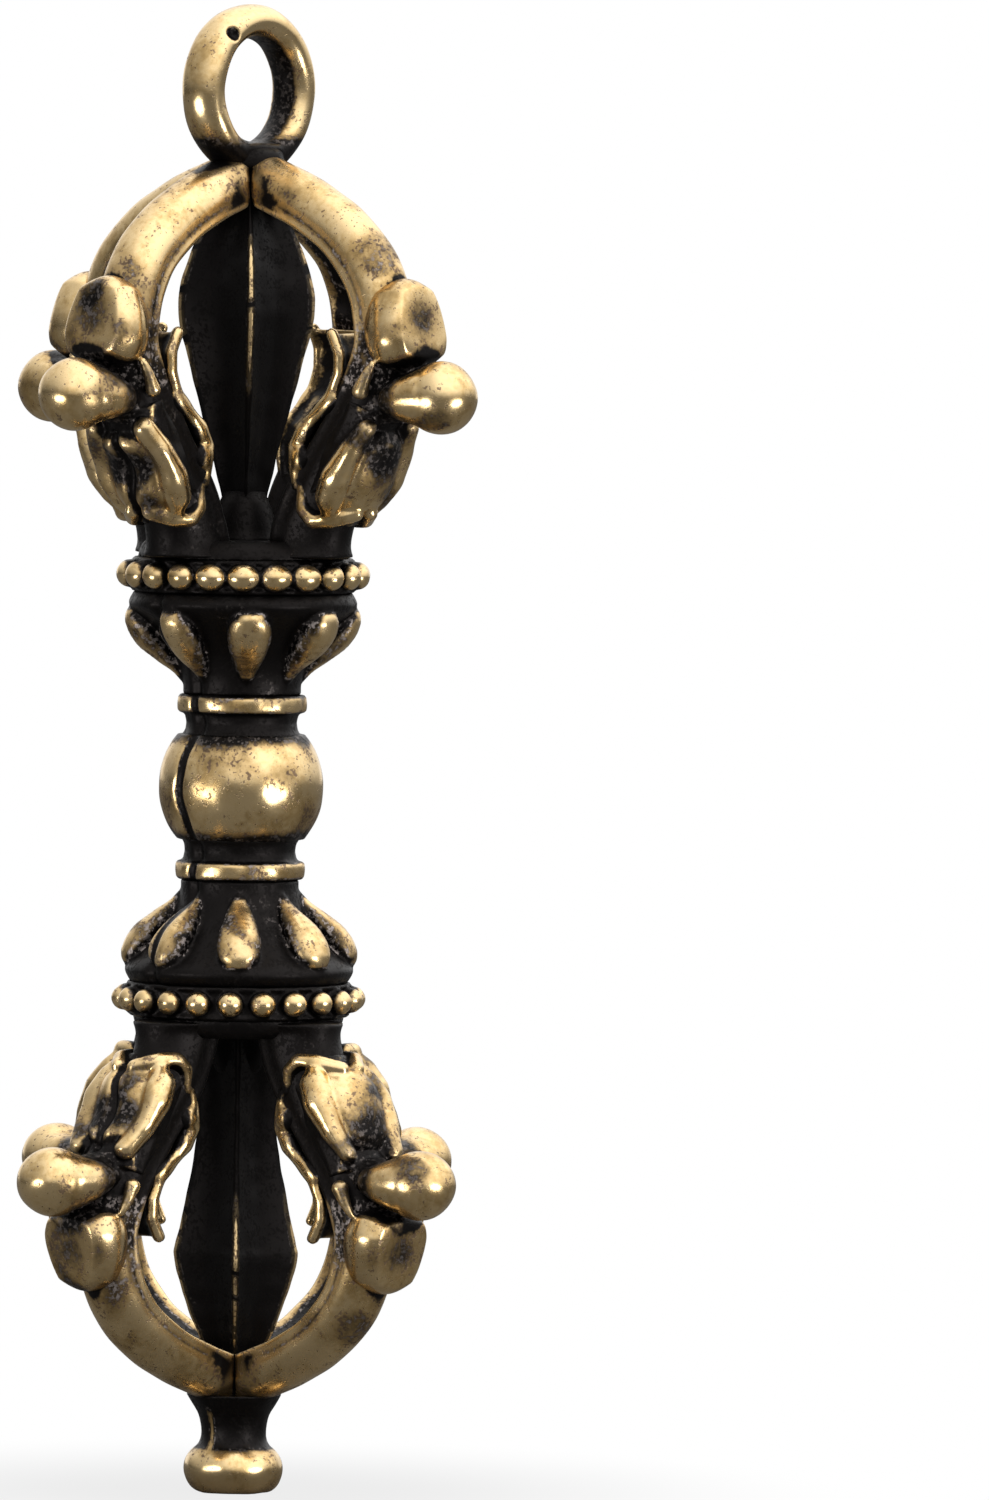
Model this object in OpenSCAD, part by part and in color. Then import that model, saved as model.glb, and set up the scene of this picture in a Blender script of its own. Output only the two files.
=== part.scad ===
// Five-pronged dorje vajra pendant, in millimetres, +Z up.
// The origin is the middle of the flat under the bottom knob.
// The upper prongs lie along X and Y, and the hanging loop stands in the XZ plane.

/* [Fits] */
// Gap between a pin, rod or prong and the hole or channel that holds it
fit = 0.03; // [0.01:0.01:0.06]

/* [Core rod] */
// Radius of the rod that the middle pieces are threaded on
rod_r = 0.8; // [0.5:0.05:0.9]
// How far each end of the rod goes into a blade's foot
rod_reach = 0.65; // [0.4:0.05:0.7]

/* [Center ball] */
// Radius of the ball
ball_r = 2.78; // [2.6:0.02:3.2]
// Height of the ball between its two flats
ball_len = 3.5; // [3:0.1:4.2]

/* [Collars] */
// Radius of the dark neck beside the ball
neck_r = 1.95; // [1.5:0.05:2.1]
// Length of the neck
neck_len = 0.75; // [0.5:0.05:1.2]
// Radius of the bright band
band_r = 2.16; // [2:0.02:2.5]
// Length of the band
band_len = 0.6; // [0.4:0.05:0.9]
// Edge rounding of the band
band_edge = 0.12; // [0.05:0.01:0.18]

/* [Lotus cups] */
// Length of a cup, from the band to the bead ring
lotus_len = 3.45; // [3.2:0.05:4]
// Radius of the cup's stem
lotus_stem_r = 2.05; // [1.8:0.05:2.4]
// Length of the cup's stem
lotus_stem_len = 0.45; // [0.3:0.05:0.7]
// Radius of the cup at its shoulder
lotus_mouth_r = 3.72; // [3.6:0.02:4]
// Length of the straight rim above the shoulder
lotus_rim_len = 0.6; // [0.4:0.05:0.9]
// Number of petals round a cup
petal_count = 8; // [6:1:10]
// Length of a petal
petal_len = 2.6; // [2.2:0.05:2.8]
// Half of a petal's greatest width
petal_r = 0.72; // [0.5:0.02:0.8]
// How deep a petal's middle line lies under the cup's surface
petal_sink = 0.2; // [0.1:0.01:0.35]
// How far the petals are pushed towards the wide end of the cup
petal_push = 0.25; // [0:0.05:0.4]

/* [Bead rings] */
// Number of beads
bead_count = 22; // [18:1:28]
// Radius of a bead
bead_r = 0.47; // [0.35:0.01:0.5]
// Radius of the circle that the beads' middles lie on
bead_ring_r = 3.85; // [3.7:0.05:4.2]
// How far the plain ring between the beads lies inside that circle
bead_ring_in = 0.15; // [0.05:0.01:0.3]
// Thickness of the ring
bead_ring_len = 1.15; // [1:0.05:1.4]

/* [Prong seats] */
// Radius of a seat disc
seat_r = 3.54; // [3.5:0.02:3.8]
// Thickness of a seat disc
seat_len = 0.5; // [0.45:0.05:0.8]
// Radius of the pin under each prong's foot
foot_pin_r = 0.35; // [0.25:0.05:0.35]
// Length of the pin
foot_pin_len = 0.35; // [0.2:0.05:0.4]
// How far the pin stands inside the middle line of the foot
foot_pin_in = 0.55; // [0.5:0.05:0.7]

/* [Prongs] */
// Height of the upper cage, from its bead ring to the ridge where the prongs meet
upper_rise = 13.6; // [13.2:0.05:14]
// Height of the lower cage
lower_rise = 13.1; // [12.7:0.05:13.6]
// How far the lower cage is turned from the upper one, in degrees
lower_turn = -4; // [-8:1:8]
// Distance of a prong's foot from the middle
foot_r = 3.5; // [3.3:0.05:3.6]
// How far a prong rises straight before it leans out
foot_lift = 2; // [1.5:0.1:2.5]
// Distance of a prong's belly from the middle
belly_r = 6.15; // [5.9:0.05:6.5]
// Height of the upper bellies above the bead ring
upper_belly_h = 7.5; // [7.2:0.05:7.8]
// Height of the lower bellies from the bead ring
lower_belly_h = 7.1; // [6.9:0.05:7.4]
// Length of the straight pull below the belly
belly_pull = 2.6; // [2:0.1:3]
// Length of the straight pull above the belly
shoulder_pull = 3.3; // [2.8:0.05:3.5]
// Run of the straight pull at the tip
tip_run = 3; // [2.4:0.1:3.4]
// Drop of the pull at the tip over that run
tip_drop = 1; // [0.7:0.05:1.2]
// Half width of a prong at its foot
foot_half_w = 1; // [0.9:0.05:1.1]
// Half width of a prong at its belly
belly_half_w = 1.1; // [1:0.05:1.2]
// Half width of a prong at its tip
tip_half_w = 1; // [0.8:0.05:1.1]
// Height of the rounded outer face at the foot
foot_bulge_h = 0.75; // [0.6:0.05:0.9]
// Height of the rounded outer face at the belly
belly_bulge_h = 1.05; // [0.9:0.05:1.2]
// Height of the rounded outer face at the tip
tip_bulge_h = 0.6; // [0.5:0.05:0.7]
// Depth of the inner face at the foot
foot_depth = 1.1; // [1:0.05:1.2]
// Depth of the inner face at the belly
belly_depth = 0.9; // [0.7:0.05:1]
// Depth of the inner face at the tip
tip_depth = 0.7; // [0.5:0.05:0.8]
// Width of the flat inner face, as a share of the prong's width
inner_share = 0.65; // [0.4:0.05:0.9]
// Gap left where two prong tips are mitred together
mitre_gap = 0.03; // [0.01:0.01:0.06]

/* [Makara heads] */
// Width of the cheeks across the prong
cheek_w = 3; // [2.8:0.05:3.2]
// Wall of the muzzle on the outer side of the prong
muzzle_wall = 0.5; // [0.3:0.05:0.7]
// Radius of the brow
brow_r = 1.85; // [1.7:0.05:2]
// How far the brow's middle lies inside the belly
brow_in = 1.25; // [1:0.05:1.4]
// Height of the brow's middle above the bead ring
brow_h = 3.4; // [3.2:0.05:3.7]
// Radius of the curled nose
nose_r = 1.25; // [1:0.05:1.4]
// How far the nose's middle stands out from the belly
nose_reach = 2.45; // [2.2:0.05:2.8]
// How far the nose's middle lies below the belly
nose_drop = 2; // [1.8:0.05:2.3]
// Radius of the stalk that carries the nose
stalk_r = 0.85; // [0.6:0.05:1]
// Radius of the lip
lip_r = 1.42; // [1.2:0.02:1.5]
// How far the lip's middle stands out from the belly
lip_reach = 0.85; // [0.7:0.05:1.1]
// How far the lip's middle lies above the belly
lip_rise = 0.75; // [0.5:0.05:1]
// Width of the jaw across the prong
jaw_w = 2.5; // [2.3:0.05:2.7]
// Wall of the jaw on the inner side of the prong
jaw_wall = 0.4; // [0.3:0.05:0.6]
// Height of the waves on the jaw's edge
jaw_wave = 0.14; // [0.05:0.01:0.2]
// Number of waves on the jaw's edge
jaw_lobes = 4; // [3:1:5]
// How far the jaw's hooked end stands off the prong
jaw_hook = 0.6; // [0.3:0.05:0.8]
// Half width of the open mouth seen from the side
mouth_gap = 0.3; // [0.15:0.05:0.4]

/* [Blades] */
// Radius of the round foot of a blade
blade_foot_r = 1.2; // [1.1:0.05:1.4]
// Height of the foot
blade_foot_len = 0.85; // [0.8:0.05:1.1]
// Distance of the edges from the middle just above the foot
blade_neck_r = 0.64; // [0.5:0.02:0.8]
// Distance of the edges from the middle where the upper blade is widest
upper_blade_r = 2.32; // [1.9:0.02:2.4]
// Distance of the edges from the middle where the lower blade is widest
lower_blade_r = 2.1; // [1.9:0.02:2.4]
// Height of the widest place above the bead ring
blade_wide_h = 8; // [7:0.1:8.6]
// Distance of the edges from the middle at the blade's top
blade_tip_r = 0.85; // [0.8:0.05:1]
// Room between the blade's top and the prong tips over it
blade_gap = 0.1; // [0.05:0.01:0.2]

/* [Crown and loop] */
// Radius of the crown cap
crown_r = 1.85; // [1.6:0.05:2.1]
// Height of the crown cap over the ridge of the prongs
crown_len = 0.15; // [0.1:0.05:0.3]
// Radius of the hole in the loop
loop_hole_r = 1.72; // [1.4:0.02:2]
// Thickness of the loop between its hole and its rim
loop_wire = 1.16; // [0.9:0.01:1.4]
// Depth of the loop along its hole
loop_depth = 1.85; // [1.6:0.05:2]
// Thickness left under the hole where the loop is cut flat
loop_web = 0.2; // [0.15:0.05:0.5]
// Radius of the stems that hold the loop and the bottom knob
stem_r = 0.4; // [0.25:0.05:0.42]
// How far a stem goes into the top of a blade
stem_reach = 0.9; // [0.6:0.05:1.2]

/* [Bottom knob] */
// Radius of the knob
knob_r = 1.66; // [1.5:0.02:1.9]
// Radius of the flat under the knob
knob_flat_r = 1.2; // [0.9:0.05:1.3]
// Height of the knob
knob_len = 1.55; // [1.3:0.05:1.8]
// Radius of the waist over the knob
waist_r = 1.12; // [0.9:0.02:1.18]
// Height of the waist
waist_len = 1.4; // [1.2:0.05:1.8]
// Radius of the flared top of the waist
flare_r = 1.5; // [1.3:0.05:1.7]

/* [Hidden] */
$fn = 64;
QUARTERS = [1, 2, 3, 4];

brass = "#9c7f45";
worn_brass = "#b99a5b";
dark_brass = "#1d1914";

// Levels along the axis, counted up from the knob's flat
finial_len = knob_len + waist_len;
hub_half = ball_len / 2 + neck_len + band_len + lotus_len + bead_ring_len;
lower_base_z = finial_len + lower_rise;
ball_z = lower_base_z + hub_half;
upper_base_z = ball_z + hub_half;
crown_top_z = upper_base_z + upper_rise + crown_len;
loop_z = crown_top_z + loop_web + loop_hole_r;

// Levels within one half of the hub, counted from the middle of the ball
neck_at = ball_len / 2;
band_at = neck_at + neck_len;
lotus_at = band_at + band_len;
bead_at = lotus_at + lotus_len;

// Each cage as [height, height of the bellies]
upper_cage = [upper_rise, upper_belly_h];
lower_cage = [lower_rise, lower_belly_h];

// The prongs come together at this slope
tip_slope = tip_drop / tip_run;
tip_stretch = norm([1, tip_slope]);
stem_clear_r = stem_r + fit;
rod_clear_r = rod_r + fit;
// How far a cut runs past the face that it opens
cut = 0.01;

function lerp(a, b, t) = a + (b - a) * t;
function bezier(p, t) =
    pow(1 - t, 3) * p[0] + 3 * pow(1 - t, 2) * t * p[1] + 3 * (1 - t) * t * t * p[2] + pow(t, 3) * p[3];
function bezier_slope(p, t) =
    pow(1 - t, 2) * (p[1] - p[0]) + 2 * (1 - t) * t * (p[2] - p[1]) + t * t * (p[3] - p[2]);

// A prong's line in its own plane, [distance from the middle, height over the bead ring].
// u runs from 0 at the foot over 1 at the belly to 2 where the tips meet.
function tip_h(cage) = cage[0] - tip_bulge_h * tip_stretch;
function foot_curve(cage) = [
    [foot_r, seat_len], [foot_r, seat_len + foot_lift],
    [belly_r, cage[1] - belly_pull], [belly_r, cage[1]]];
function tip_curve(cage) = [
    [belly_r, cage[1]], [belly_r, cage[1] + shoulder_pull],
    [tip_run, tip_h(cage) - tip_drop], [0, tip_h(cage)]];
function line_at(u, cage) = u < 1 ? bezier(foot_curve(cage), u) : bezier(tip_curve(cage), u - 1);
function slope_at(u, cage) = u < 1 ? bezier_slope(foot_curve(cage), u) : bezier_slope(tip_curve(cage), u - 1);
function outward_at(u, cage) =
    let (s = slope_at(u, cage)) [s[1], -s[0]] / norm(s);
function beside(u, n, cage) = line_at(u, cage) + n * outward_at(u, cage);

// Sizes that change along a prong, and stay as they are from its last ring to the mitre
function along(at_foot, at_belly, at_tip, u) =
    u < 1 ? lerp(at_foot, at_belly, u) : lerp(at_belly, at_tip, min(1, (u - 1) / (last_u - 1)));
function half_w_at(u) = along(foot_half_w, belly_half_w, tip_half_w, u);
function bulge_at(u) = along(foot_bulge_h, belly_bulge_h, tip_bulge_h, u);
function depth_at(u) = along(foot_depth, belly_depth, tip_depth, u);

// A prong's section as [outward, sideways] points: a round outer face and a flat inner one
arc_step = 22.5;
function section(u) = concat(
    [for (a = [0 : arc_step : 180]) [bulge_at(u) * sin(a), half_w_at(u) * cos(a)]],
    [for (side = [-1, 1]) [-depth_at(u), side * half_w_at(u) * inner_share]]);

// Rings of points along a prong, the last one mitred against its neighbours
ring_steps = 20;
last_u = 1.8;
function ring(u, cage) = [for (p = section(u)) let (q = beside(u, p[0], cage)) [q[0], p[1], q[1]]];
function mitred_ring(cage) = [
    for (p = section(2))
        let (r = max(abs(p[1]) + mitre_gap, stem_clear_r))
        [r, p[1], tip_h(cage) + p[0] * tip_stretch - r * tip_slope]];

module swept(rings, middle) {
    sides = len(rings[0]);
    last = len(rings) - 1;
    points = concat([for (r = rings) for (p = r) p], [middle]);
    walls = [for (i = [0 : last - 1]) for (j = [0 : sides - 1])
        let (a = i * sides + j, b = i * sides + (j + 1) % sides)
        each [[a, b, b + sides], [a, b + sides, a + sides]]];
    foot = [[for (j = [sides - 1 : -1 : 0]) j]];
    tip = [for (j = [0 : sides - 1]) [last * sides + j, last * sides + (j + 1) % sides, len(points) - 1]];
    polyhedron(points, concat(walls, foot, tip));
}

// Outline between two lines beside a prong, each given as [u, outward] pairs
function between(inner, outer, cage) = concat(
    [for (p = inner) beside(p[0], p[1], cage)],
    [for (i = [len(outer) - 1 : -1 : 0]) beside(outer[i][0], outer[i][1], cage)]);

// Extrudes an outline that stands in a prong's own plane
module plate(outline, width) {
    rotate([90, 0, 0]) linear_extrude(width, center = true) polygon(outline);
}

// Places along the prong where a head begins, its mouth opens, and its jaw, muzzle and channel end
head_from = 0.2;
mouth_at = 0.6;
jaw_to = 1.02;
muzzle_to = 1.08;
channel_to = 1.6;
function steps(a, b, count) = [for (i = [0 : count]) lerp(a, b, i / count)];

module bore(r, from, to) {
    translate([0, 0, from]) cylinder(r = r, h = to - from);
}

module on_upper_half() { translate([0, 0, ball_z]) children(); }
module on_lower_half() { translate([0, 0, ball_z]) mirror([0, 0, 1]) rotate(lower_turn) children(); }
module on_upper_cage() { translate([0, 0, upper_base_z]) children(); }
module on_lower_cage() { translate([0, 0, lower_base_z]) mirror([0, 0, 1]) rotate(lower_turn) children(); }
module at_quarter(i) { rotate((i - 1) * 90) children(); }

module core_rod() {
    half = hub_half + seat_len + rod_reach;
    color(brass) translate([0, 0, ball_z - half]) cylinder(r = rod_r, h = 2 * half);
}

module center_ball() {
    color(worn_brass) translate([0, 0, ball_z]) difference() {
        sphere(r = ball_r);
        for (side = [-1, 1])
            translate([0, 0, side * (ball_len / 2 + ball_r)]) cube(2 * ball_r, center = true);
        bore(rod_clear_r, -ball_r, ball_r);
    }
}

module collar() {
    profile = [
        [rod_clear_r, neck_at], [neck_r, neck_at], [neck_r, band_at],
        [band_r - band_edge, band_at], [band_r, band_at + band_edge],
        [band_r, lotus_at - band_edge], [band_r - band_edge, lotus_at], [rod_clear_r, lotus_at]];
    rotate_extrude() polygon(profile);
}

// A teardrop on +Z, pointed at its start and round at its end
petal_step = 18;
petal_taper = 1.2;
function petal_width(a) = sin(a) * pow(sin(a / 2), petal_taper);
petal_widest = max([for (a = [0 : petal_step : 180]) petal_width(a)]);
module petal() {
    rotate_extrude() polygon([
        for (a = [0 : petal_step : 180])
            [petal_r * petal_width(a) / petal_widest, petal_len * (1 - cos(a)) / 2]]);
}

module lotus() {
    flare_from = lotus_at + lotus_stem_len;
    flare_to = bead_at - lotus_rim_len;
    flare = [lotus_mouth_r - lotus_stem_r, flare_to - flare_from];
    lean = atan2(flare[0], flare[1]);
    middle = [(lotus_mouth_r + lotus_stem_r) / 2, (flare_from + flare_to) / 2];
    cup = [
        [rod_clear_r, lotus_at], [lotus_stem_r, lotus_at], [lotus_stem_r, flare_from],
        [lotus_mouth_r, flare_to], [lotus_mouth_r, bead_at], [rod_clear_r, bead_at]];
    difference() {
        union() {
            rotate_extrude() polygon(cup);
            for (i = [0 : petal_count - 1])
                rotate(i * 360 / petal_count)
                    translate([middle[0], 0, middle[1]])
                        rotate([0, lean, 0])
                            translate([-petal_sink, 0, petal_push - petal_len / 2]) petal();
        }
        bore(rod_clear_r, lotus_at - cut, bead_at + cut);
    }
}

module bead_ring() {
    difference() {
        union() {
            translate([0, 0, bead_at]) cylinder(r = bead_ring_r - bead_ring_in, h = bead_ring_len);
            for (i = [0 : bead_count - 1])
                rotate((i + 0.5) * 360 / bead_count)
                    translate([bead_ring_r, 0, bead_at + bead_ring_len / 2]) sphere(r = bead_r);
        }
        bore(rod_clear_r, bead_at - cut, hub_half + cut);
    }
}

module seat() {
    difference() {
        cylinder(r = seat_r, h = seat_len);
        bore(rod_clear_r, -cut, seat_len + cut);
        for (i = QUARTERS)
            at_quarter(i) translate([foot_r - foot_pin_in, 0, 0])
                bore(foot_pin_r + fit, seat_len - foot_pin_len - fit, seat_len + cut);
    }
}

// A blade's edge as [distance from the middle, height], swelling to its widest place
swell = 0.85;
swell_steps = 7;
taper = 1.2;
taper_steps = 5;
function blade_top(cage) =
    tip_h(cage) - tip_depth * tip_stretch - blade_tip_r * tip_slope - blade_gap;
function blade_edge(wide_r, cage) =
    let (low = seat_len + blade_foot_len - cut, top = blade_top(cage))
    concat(
        [for (s = steps(0, 1, swell_steps))
            [lerp(blade_neck_r, wide_r, pow(s, swell)), lerp(low, blade_wide_h, s)]],
        [for (s = steps(1 / taper_steps, 1, taper_steps - 1))
            [lerp(wide_r, blade_tip_r, pow(s, taper)), lerp(blade_wide_h, top, s)]]);

module blade(wide_r, cage) {
    edge = blade_edge(wide_r, cage);
    top = blade_top(cage);
    difference() {
        union() {
            translate([0, 0, seat_len]) cylinder(r = blade_foot_r, h = blade_foot_len);
            rotate(45) rotate_extrude($fn = 4)
                polygon(concat([[0, edge[0][1]]], edge, [[0, top]]));
        }
        bore(rod_clear_r, seat_len - cut, seat_len + rod_reach + fit);
        bore(stem_clear_r, top - stem_reach - fit, top + cut);
    }
}

module prong(cage) {
    rings = concat([for (u = steps(0, last_u, ring_steps)) ring(u, cage)], [mitred_ring(cage)]);
    swept(rings, [stem_clear_r, 0, tip_h(cage) - stem_clear_r * tip_slope]);
    translate([foot_r - foot_pin_in, 0, 0])
        bore(foot_pin_r, seat_len - foot_pin_len, seat_len + foot_pin_len);
}

// The channel in a head that its prong runs through, in layers that step in over the round face
channel_layers = [0.6, 0.85, 1];
channel_steps = 24;
module prong_channel(cage) {
    us = steps(0, channel_to, channel_steps);
    widest = max(foot_half_w, belly_half_w, tip_half_w);
    for (i = [0 : len(channel_layers) - 1]) {
        below = i == 0 ? 0 : channel_layers[i - 1];
        outline = between(
            [for (u = us) [u, -depth_at(u) - fit]],
            [for (u = us) [u, channel_layers[i] * bulge_at(u) + fit]], cage);
        plate(outline, 2 * (widest * sqrt(1 - below * below) + fit));
    }
}

// A round sleeve over the prong, whose inner side draws back where the mouth opens
sleeve_sides = 16;
sleeve_steps = 14;
mouth_ease = 0.12;
function inner_wall(u) =
    lerp(depth_at(u) + jaw_wall, mouth_gap, min(1, max(0, (u - mouth_at) / mouth_ease)));
function sleeve_ring(u, cage) = [
    for (i = [0 : sleeve_sides - 1])
        let (a = i * 360 / sleeve_sides,
             n = sin(a) * (sin(a) > 0 ? bulge_at(u) + muzzle_wall : inner_wall(u)),
             q = beside(u, n, cage))
        [q[0], cheek_w / 2 * cos(a), q[1]]];
module sleeve(cage) {
    end = line_at(muzzle_to, cage);
    swept([for (u = steps(head_from, muzzle_to, sleeve_steps)) sleeve_ring(u, cage)], [end[0], 0, end[1]]);
}

// Lower jaw on the inner side, with a wavy edge and a hooked end
jaw_steps = 32;
module jaw(cage) {
    us = steps(head_from, jaw_to, jaw_steps);
    function open(u) = pow(max(0, (u - mouth_at) / (jaw_to - mouth_at)), 2);
    function wave(u) = jaw_wave * sin(360 * jaw_lobes * (u - head_from) / (jaw_to - head_from));
    plate(between(
        [for (u = us) [u, -depth_at(u) - jaw_wall - wave(u) - jaw_hook * open(u)]],
        [for (u = us) [u, -lerp(depth_at(u) / 2, depth_at(u) + jaw_hook, open(u))]], cage), jaw_w);
}

// The lip lies on the outer side of the prong only
lip_steps = 10;
module lip(cage) {
    us = steps(mouth_at, channel_to, lip_steps);
    difference() {
        translate([belly_r + lip_reach, 0, cage[1] + lip_rise]) sphere(r = lip_r);
        plate(between(
            [for (u = us) [u, -belly_depth - lip_r]],
            [for (u = us) [u, -mouth_gap]], cage), 2 * (lip_r + cut));
    }
}

module head(cage) {
    nose = [belly_r + nose_reach, 0, cage[1] - nose_drop];
    difference() {
        union() {
            sleeve(cage);
            jaw(cage);
            lip(cage);
            translate([belly_r - brow_in, 0, brow_h]) sphere(r = brow_r);
            translate(nose) sphere(r = nose_r);
            translate(nose) rotate([0, -90, 0]) cylinder(r = stalk_r, h = nose_reach);
        }
        prong_channel(cage);
    }
}

module crown_cap() {
    ridge_z = upper_base_z + upper_rise + fit;
    color(dark_brass) rotate_extrude() polygon([
        [stem_clear_r, ridge_z - stem_clear_r * tip_slope], [crown_r, ridge_z - crown_r * tip_slope],
        [crown_r, crown_top_z - crown_len], [crown_r - crown_len, crown_top_z], [stem_clear_r, crown_top_z]]);
}

// The loop's section: a flat land on the hole, with both sides rounded
round_step = 15;
module loop_ring() {
    land = loop_depth - loop_wire;
    middle_r = loop_hole_r + loop_wire / 2;
    rotate([90, 0, 0]) rotate_extrude() polygon([
        for (side = [1, -1]) for (a = [0 : round_step : 180])
            [middle_r + side * cos(a) * loop_wire / 2, side * (land / 2 + sin(a) * loop_wire / 2)]]);
}

module hanging_loop() {
    rim_r = loop_hole_r + loop_wire;
    stem_from = upper_base_z + blade_top(upper_cage) - stem_reach;
    color(worn_brass) {
        difference() {
            translate([0, 0, loop_z]) loop_ring();
            translate([0, 0, crown_top_z - rim_r]) cube(2 * rim_r, center = true);
        }
        bore(stem_r, stem_from, crown_top_z + loop_web / 2);
    }
}

waist_steps = 10;
module finial_knob() {
    seat_z = finial_len - fit;
    knob_arc = [for (a = [-90 : round_step : 90])
        [lerp(knob_flat_r, knob_r, cos(a)), knob_len * (1 + sin(a)) / 2]];
    waist_arc = [for (s = steps(1 / waist_steps, 1, waist_steps - 1))
        let (bend = pow(2 * s - 1, 2))
        [lerp(waist_r, s < 0.5 ? knob_flat_r : flare_r, bend), lerp(knob_len, seat_z, s)]];
    stem_to = lower_base_z - blade_top(lower_cage) + stem_reach;
    color(worn_brass) {
        rotate_extrude() polygon(concat(
            [[0, 0]], knob_arc, waist_arc,
            [[flare_r, seat_z + flare_r * tip_slope], [stem_r, seat_z + stem_r * tip_slope], [0, seat_z]]));
        bore(stem_r, seat_z - waist_len / 2, stem_to);
    }
}

module upper_collar() { color(brass) on_upper_half() collar(); }
module lower_collar() { color(brass) on_lower_half() collar(); }
module upper_lotus() { color(brass) on_upper_half() lotus(); }
module lower_lotus() { color(brass) on_lower_half() lotus(); }
module upper_bead_ring() { color(worn_brass) on_upper_half() bead_ring(); }
module lower_bead_ring() { color(worn_brass) on_lower_half() bead_ring(); }
module upper_seat() { color(dark_brass) on_upper_cage() seat(); }
module lower_seat() { color(dark_brass) on_lower_cage() seat(); }
module upper_blade() { color(dark_brass) on_upper_cage() blade(upper_blade_r, upper_cage); }
module lower_blade() { color(dark_brass) on_lower_cage() blade(lower_blade_r, lower_cage); }
module upper_prong(i) { color(brass) on_upper_cage() at_quarter(i) prong(upper_cage); }
module lower_prong(i) { color(brass) on_lower_cage() at_quarter(i) prong(lower_cage); }
module upper_head(i) { color(worn_brass) on_upper_cage() at_quarter(i) head(upper_cage); }
module lower_head(i) { color(worn_brass) on_lower_cage() at_quarter(i) head(lower_cage); }

core_rod();
center_ball();
upper_collar();
lower_collar();
upper_lotus();
lower_lotus();
upper_bead_ring();
lower_bead_ring();
upper_seat();
lower_seat();
upper_blade();
lower_blade();
crown_cap();
hanging_loop();
finial_knob();
for (i = QUARTERS) {
    upper_prong(i);
    upper_head(i);
    lower_prong(i);
    lower_head(i);
}
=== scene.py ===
import math

import bmesh
import bpy
import numpy as np
from mathutils import Matrix, Vector, noise


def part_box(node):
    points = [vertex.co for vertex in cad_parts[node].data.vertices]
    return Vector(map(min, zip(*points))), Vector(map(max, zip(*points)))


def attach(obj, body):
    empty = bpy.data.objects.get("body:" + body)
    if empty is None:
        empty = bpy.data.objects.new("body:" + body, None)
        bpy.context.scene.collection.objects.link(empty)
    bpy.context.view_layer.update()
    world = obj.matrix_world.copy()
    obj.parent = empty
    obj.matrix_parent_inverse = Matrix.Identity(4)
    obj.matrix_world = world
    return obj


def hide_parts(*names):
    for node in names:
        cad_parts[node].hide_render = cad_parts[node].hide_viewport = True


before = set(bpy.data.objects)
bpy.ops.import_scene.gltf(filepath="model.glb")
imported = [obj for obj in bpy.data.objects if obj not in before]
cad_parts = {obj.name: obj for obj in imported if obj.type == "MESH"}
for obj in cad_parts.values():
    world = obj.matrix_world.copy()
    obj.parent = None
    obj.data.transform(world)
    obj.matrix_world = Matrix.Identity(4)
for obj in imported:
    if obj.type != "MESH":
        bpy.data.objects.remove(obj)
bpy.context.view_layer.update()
mm = 0.001  # pieces are modelled with one unit as a millimetre, and shrunk at the end


# Working by hand: picking, joining and finishing


def dropSelection():
    if bpy.context.mode != "OBJECT":
        bpy.ops.object.mode_set(mode="OBJECT")
    bpy.ops.object.select_all(action="DESELECT")


def pick(*pieces):
    dropSelection()
    for piece in pieces:
        piece.select_set(True)
    bpy.context.view_layer.objects.active = pieces[0]


def finishWith(piece, kind, **settings):
    pick(piece)
    modifier = piece.modifiers.new(kind.lower(), kind)
    for key, value in settings.items():
        setattr(modifier, key, value)
    bpy.ops.object.modifier_apply(modifier=modifier.name)


def named(piece, name):
    piece.name = name
    piece.data.name = name
    return piece


def joined(name, parts):
    pick(*parts)
    if len(parts) > 1:
        bpy.ops.object.join()
    piece = bpy.context.object
    bpy.ops.object.transform_apply(location=True, rotation=True, scale=True)
    return named(piece, name)


def melted(piece, voxel, smoothing):
    finishWith(piece, "REMESH", mode="VOXEL", voxel_size=voxel, adaptivity=0.0)
    if smoothing:
        finishWith(piece, "SMOOTH", factor=0.5, iterations=smoothing)
    return piece


def editing(piece):
    pick(piece)
    bpy.ops.object.mode_set(mode="EDIT")
    bpy.ops.mesh.select_all(action="SELECT")


def cleaned(piece):
    editing(piece)
    bpy.ops.mesh.remove_doubles(threshold=0.0005)
    bpy.ops.mesh.normals_make_consistent(inside=False)
    bpy.ops.object.mode_set(mode="OBJECT")
    return piece


def ball(place, radii, turn=(0, 0, 0), detail=24):
    dropSelection()
    size = radii if isinstance(radii, tuple) else (radii,) * 3
    bpy.ops.mesh.primitive_uv_sphere_add(
        segments=detail, ring_count=detail // 2, radius=1, location=place, rotation=turn, scale=size)
    return bpy.context.object


def pillow(place, radii, turn, roundness, taper=0.0):
    # A box whose corners are cast most of the way to a ball, and whose upper half may narrow
    dropSelection()
    bpy.ops.mesh.primitive_cube_add(size=2)
    piece = bpy.context.object
    editing(piece)
    bpy.ops.mesh.subdivide(number_cuts=15)
    bpy.ops.object.mode_set(mode="OBJECT")
    finishWith(piece, "CAST", cast_type="SPHERE", factor=roundness, radius=0.0, size=1.0,
               use_radius_as_size=False)
    places = corners(piece)
    places[:, 1] *= 1 - taper * np.clip(places[:, 2] + 0.4, 0, 2)
    piece.data.vertices.foreach_set("co", places.ravel())
    piece.scale = radii
    piece.rotation_euler = turn
    piece.location = place
    return piece


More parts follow.
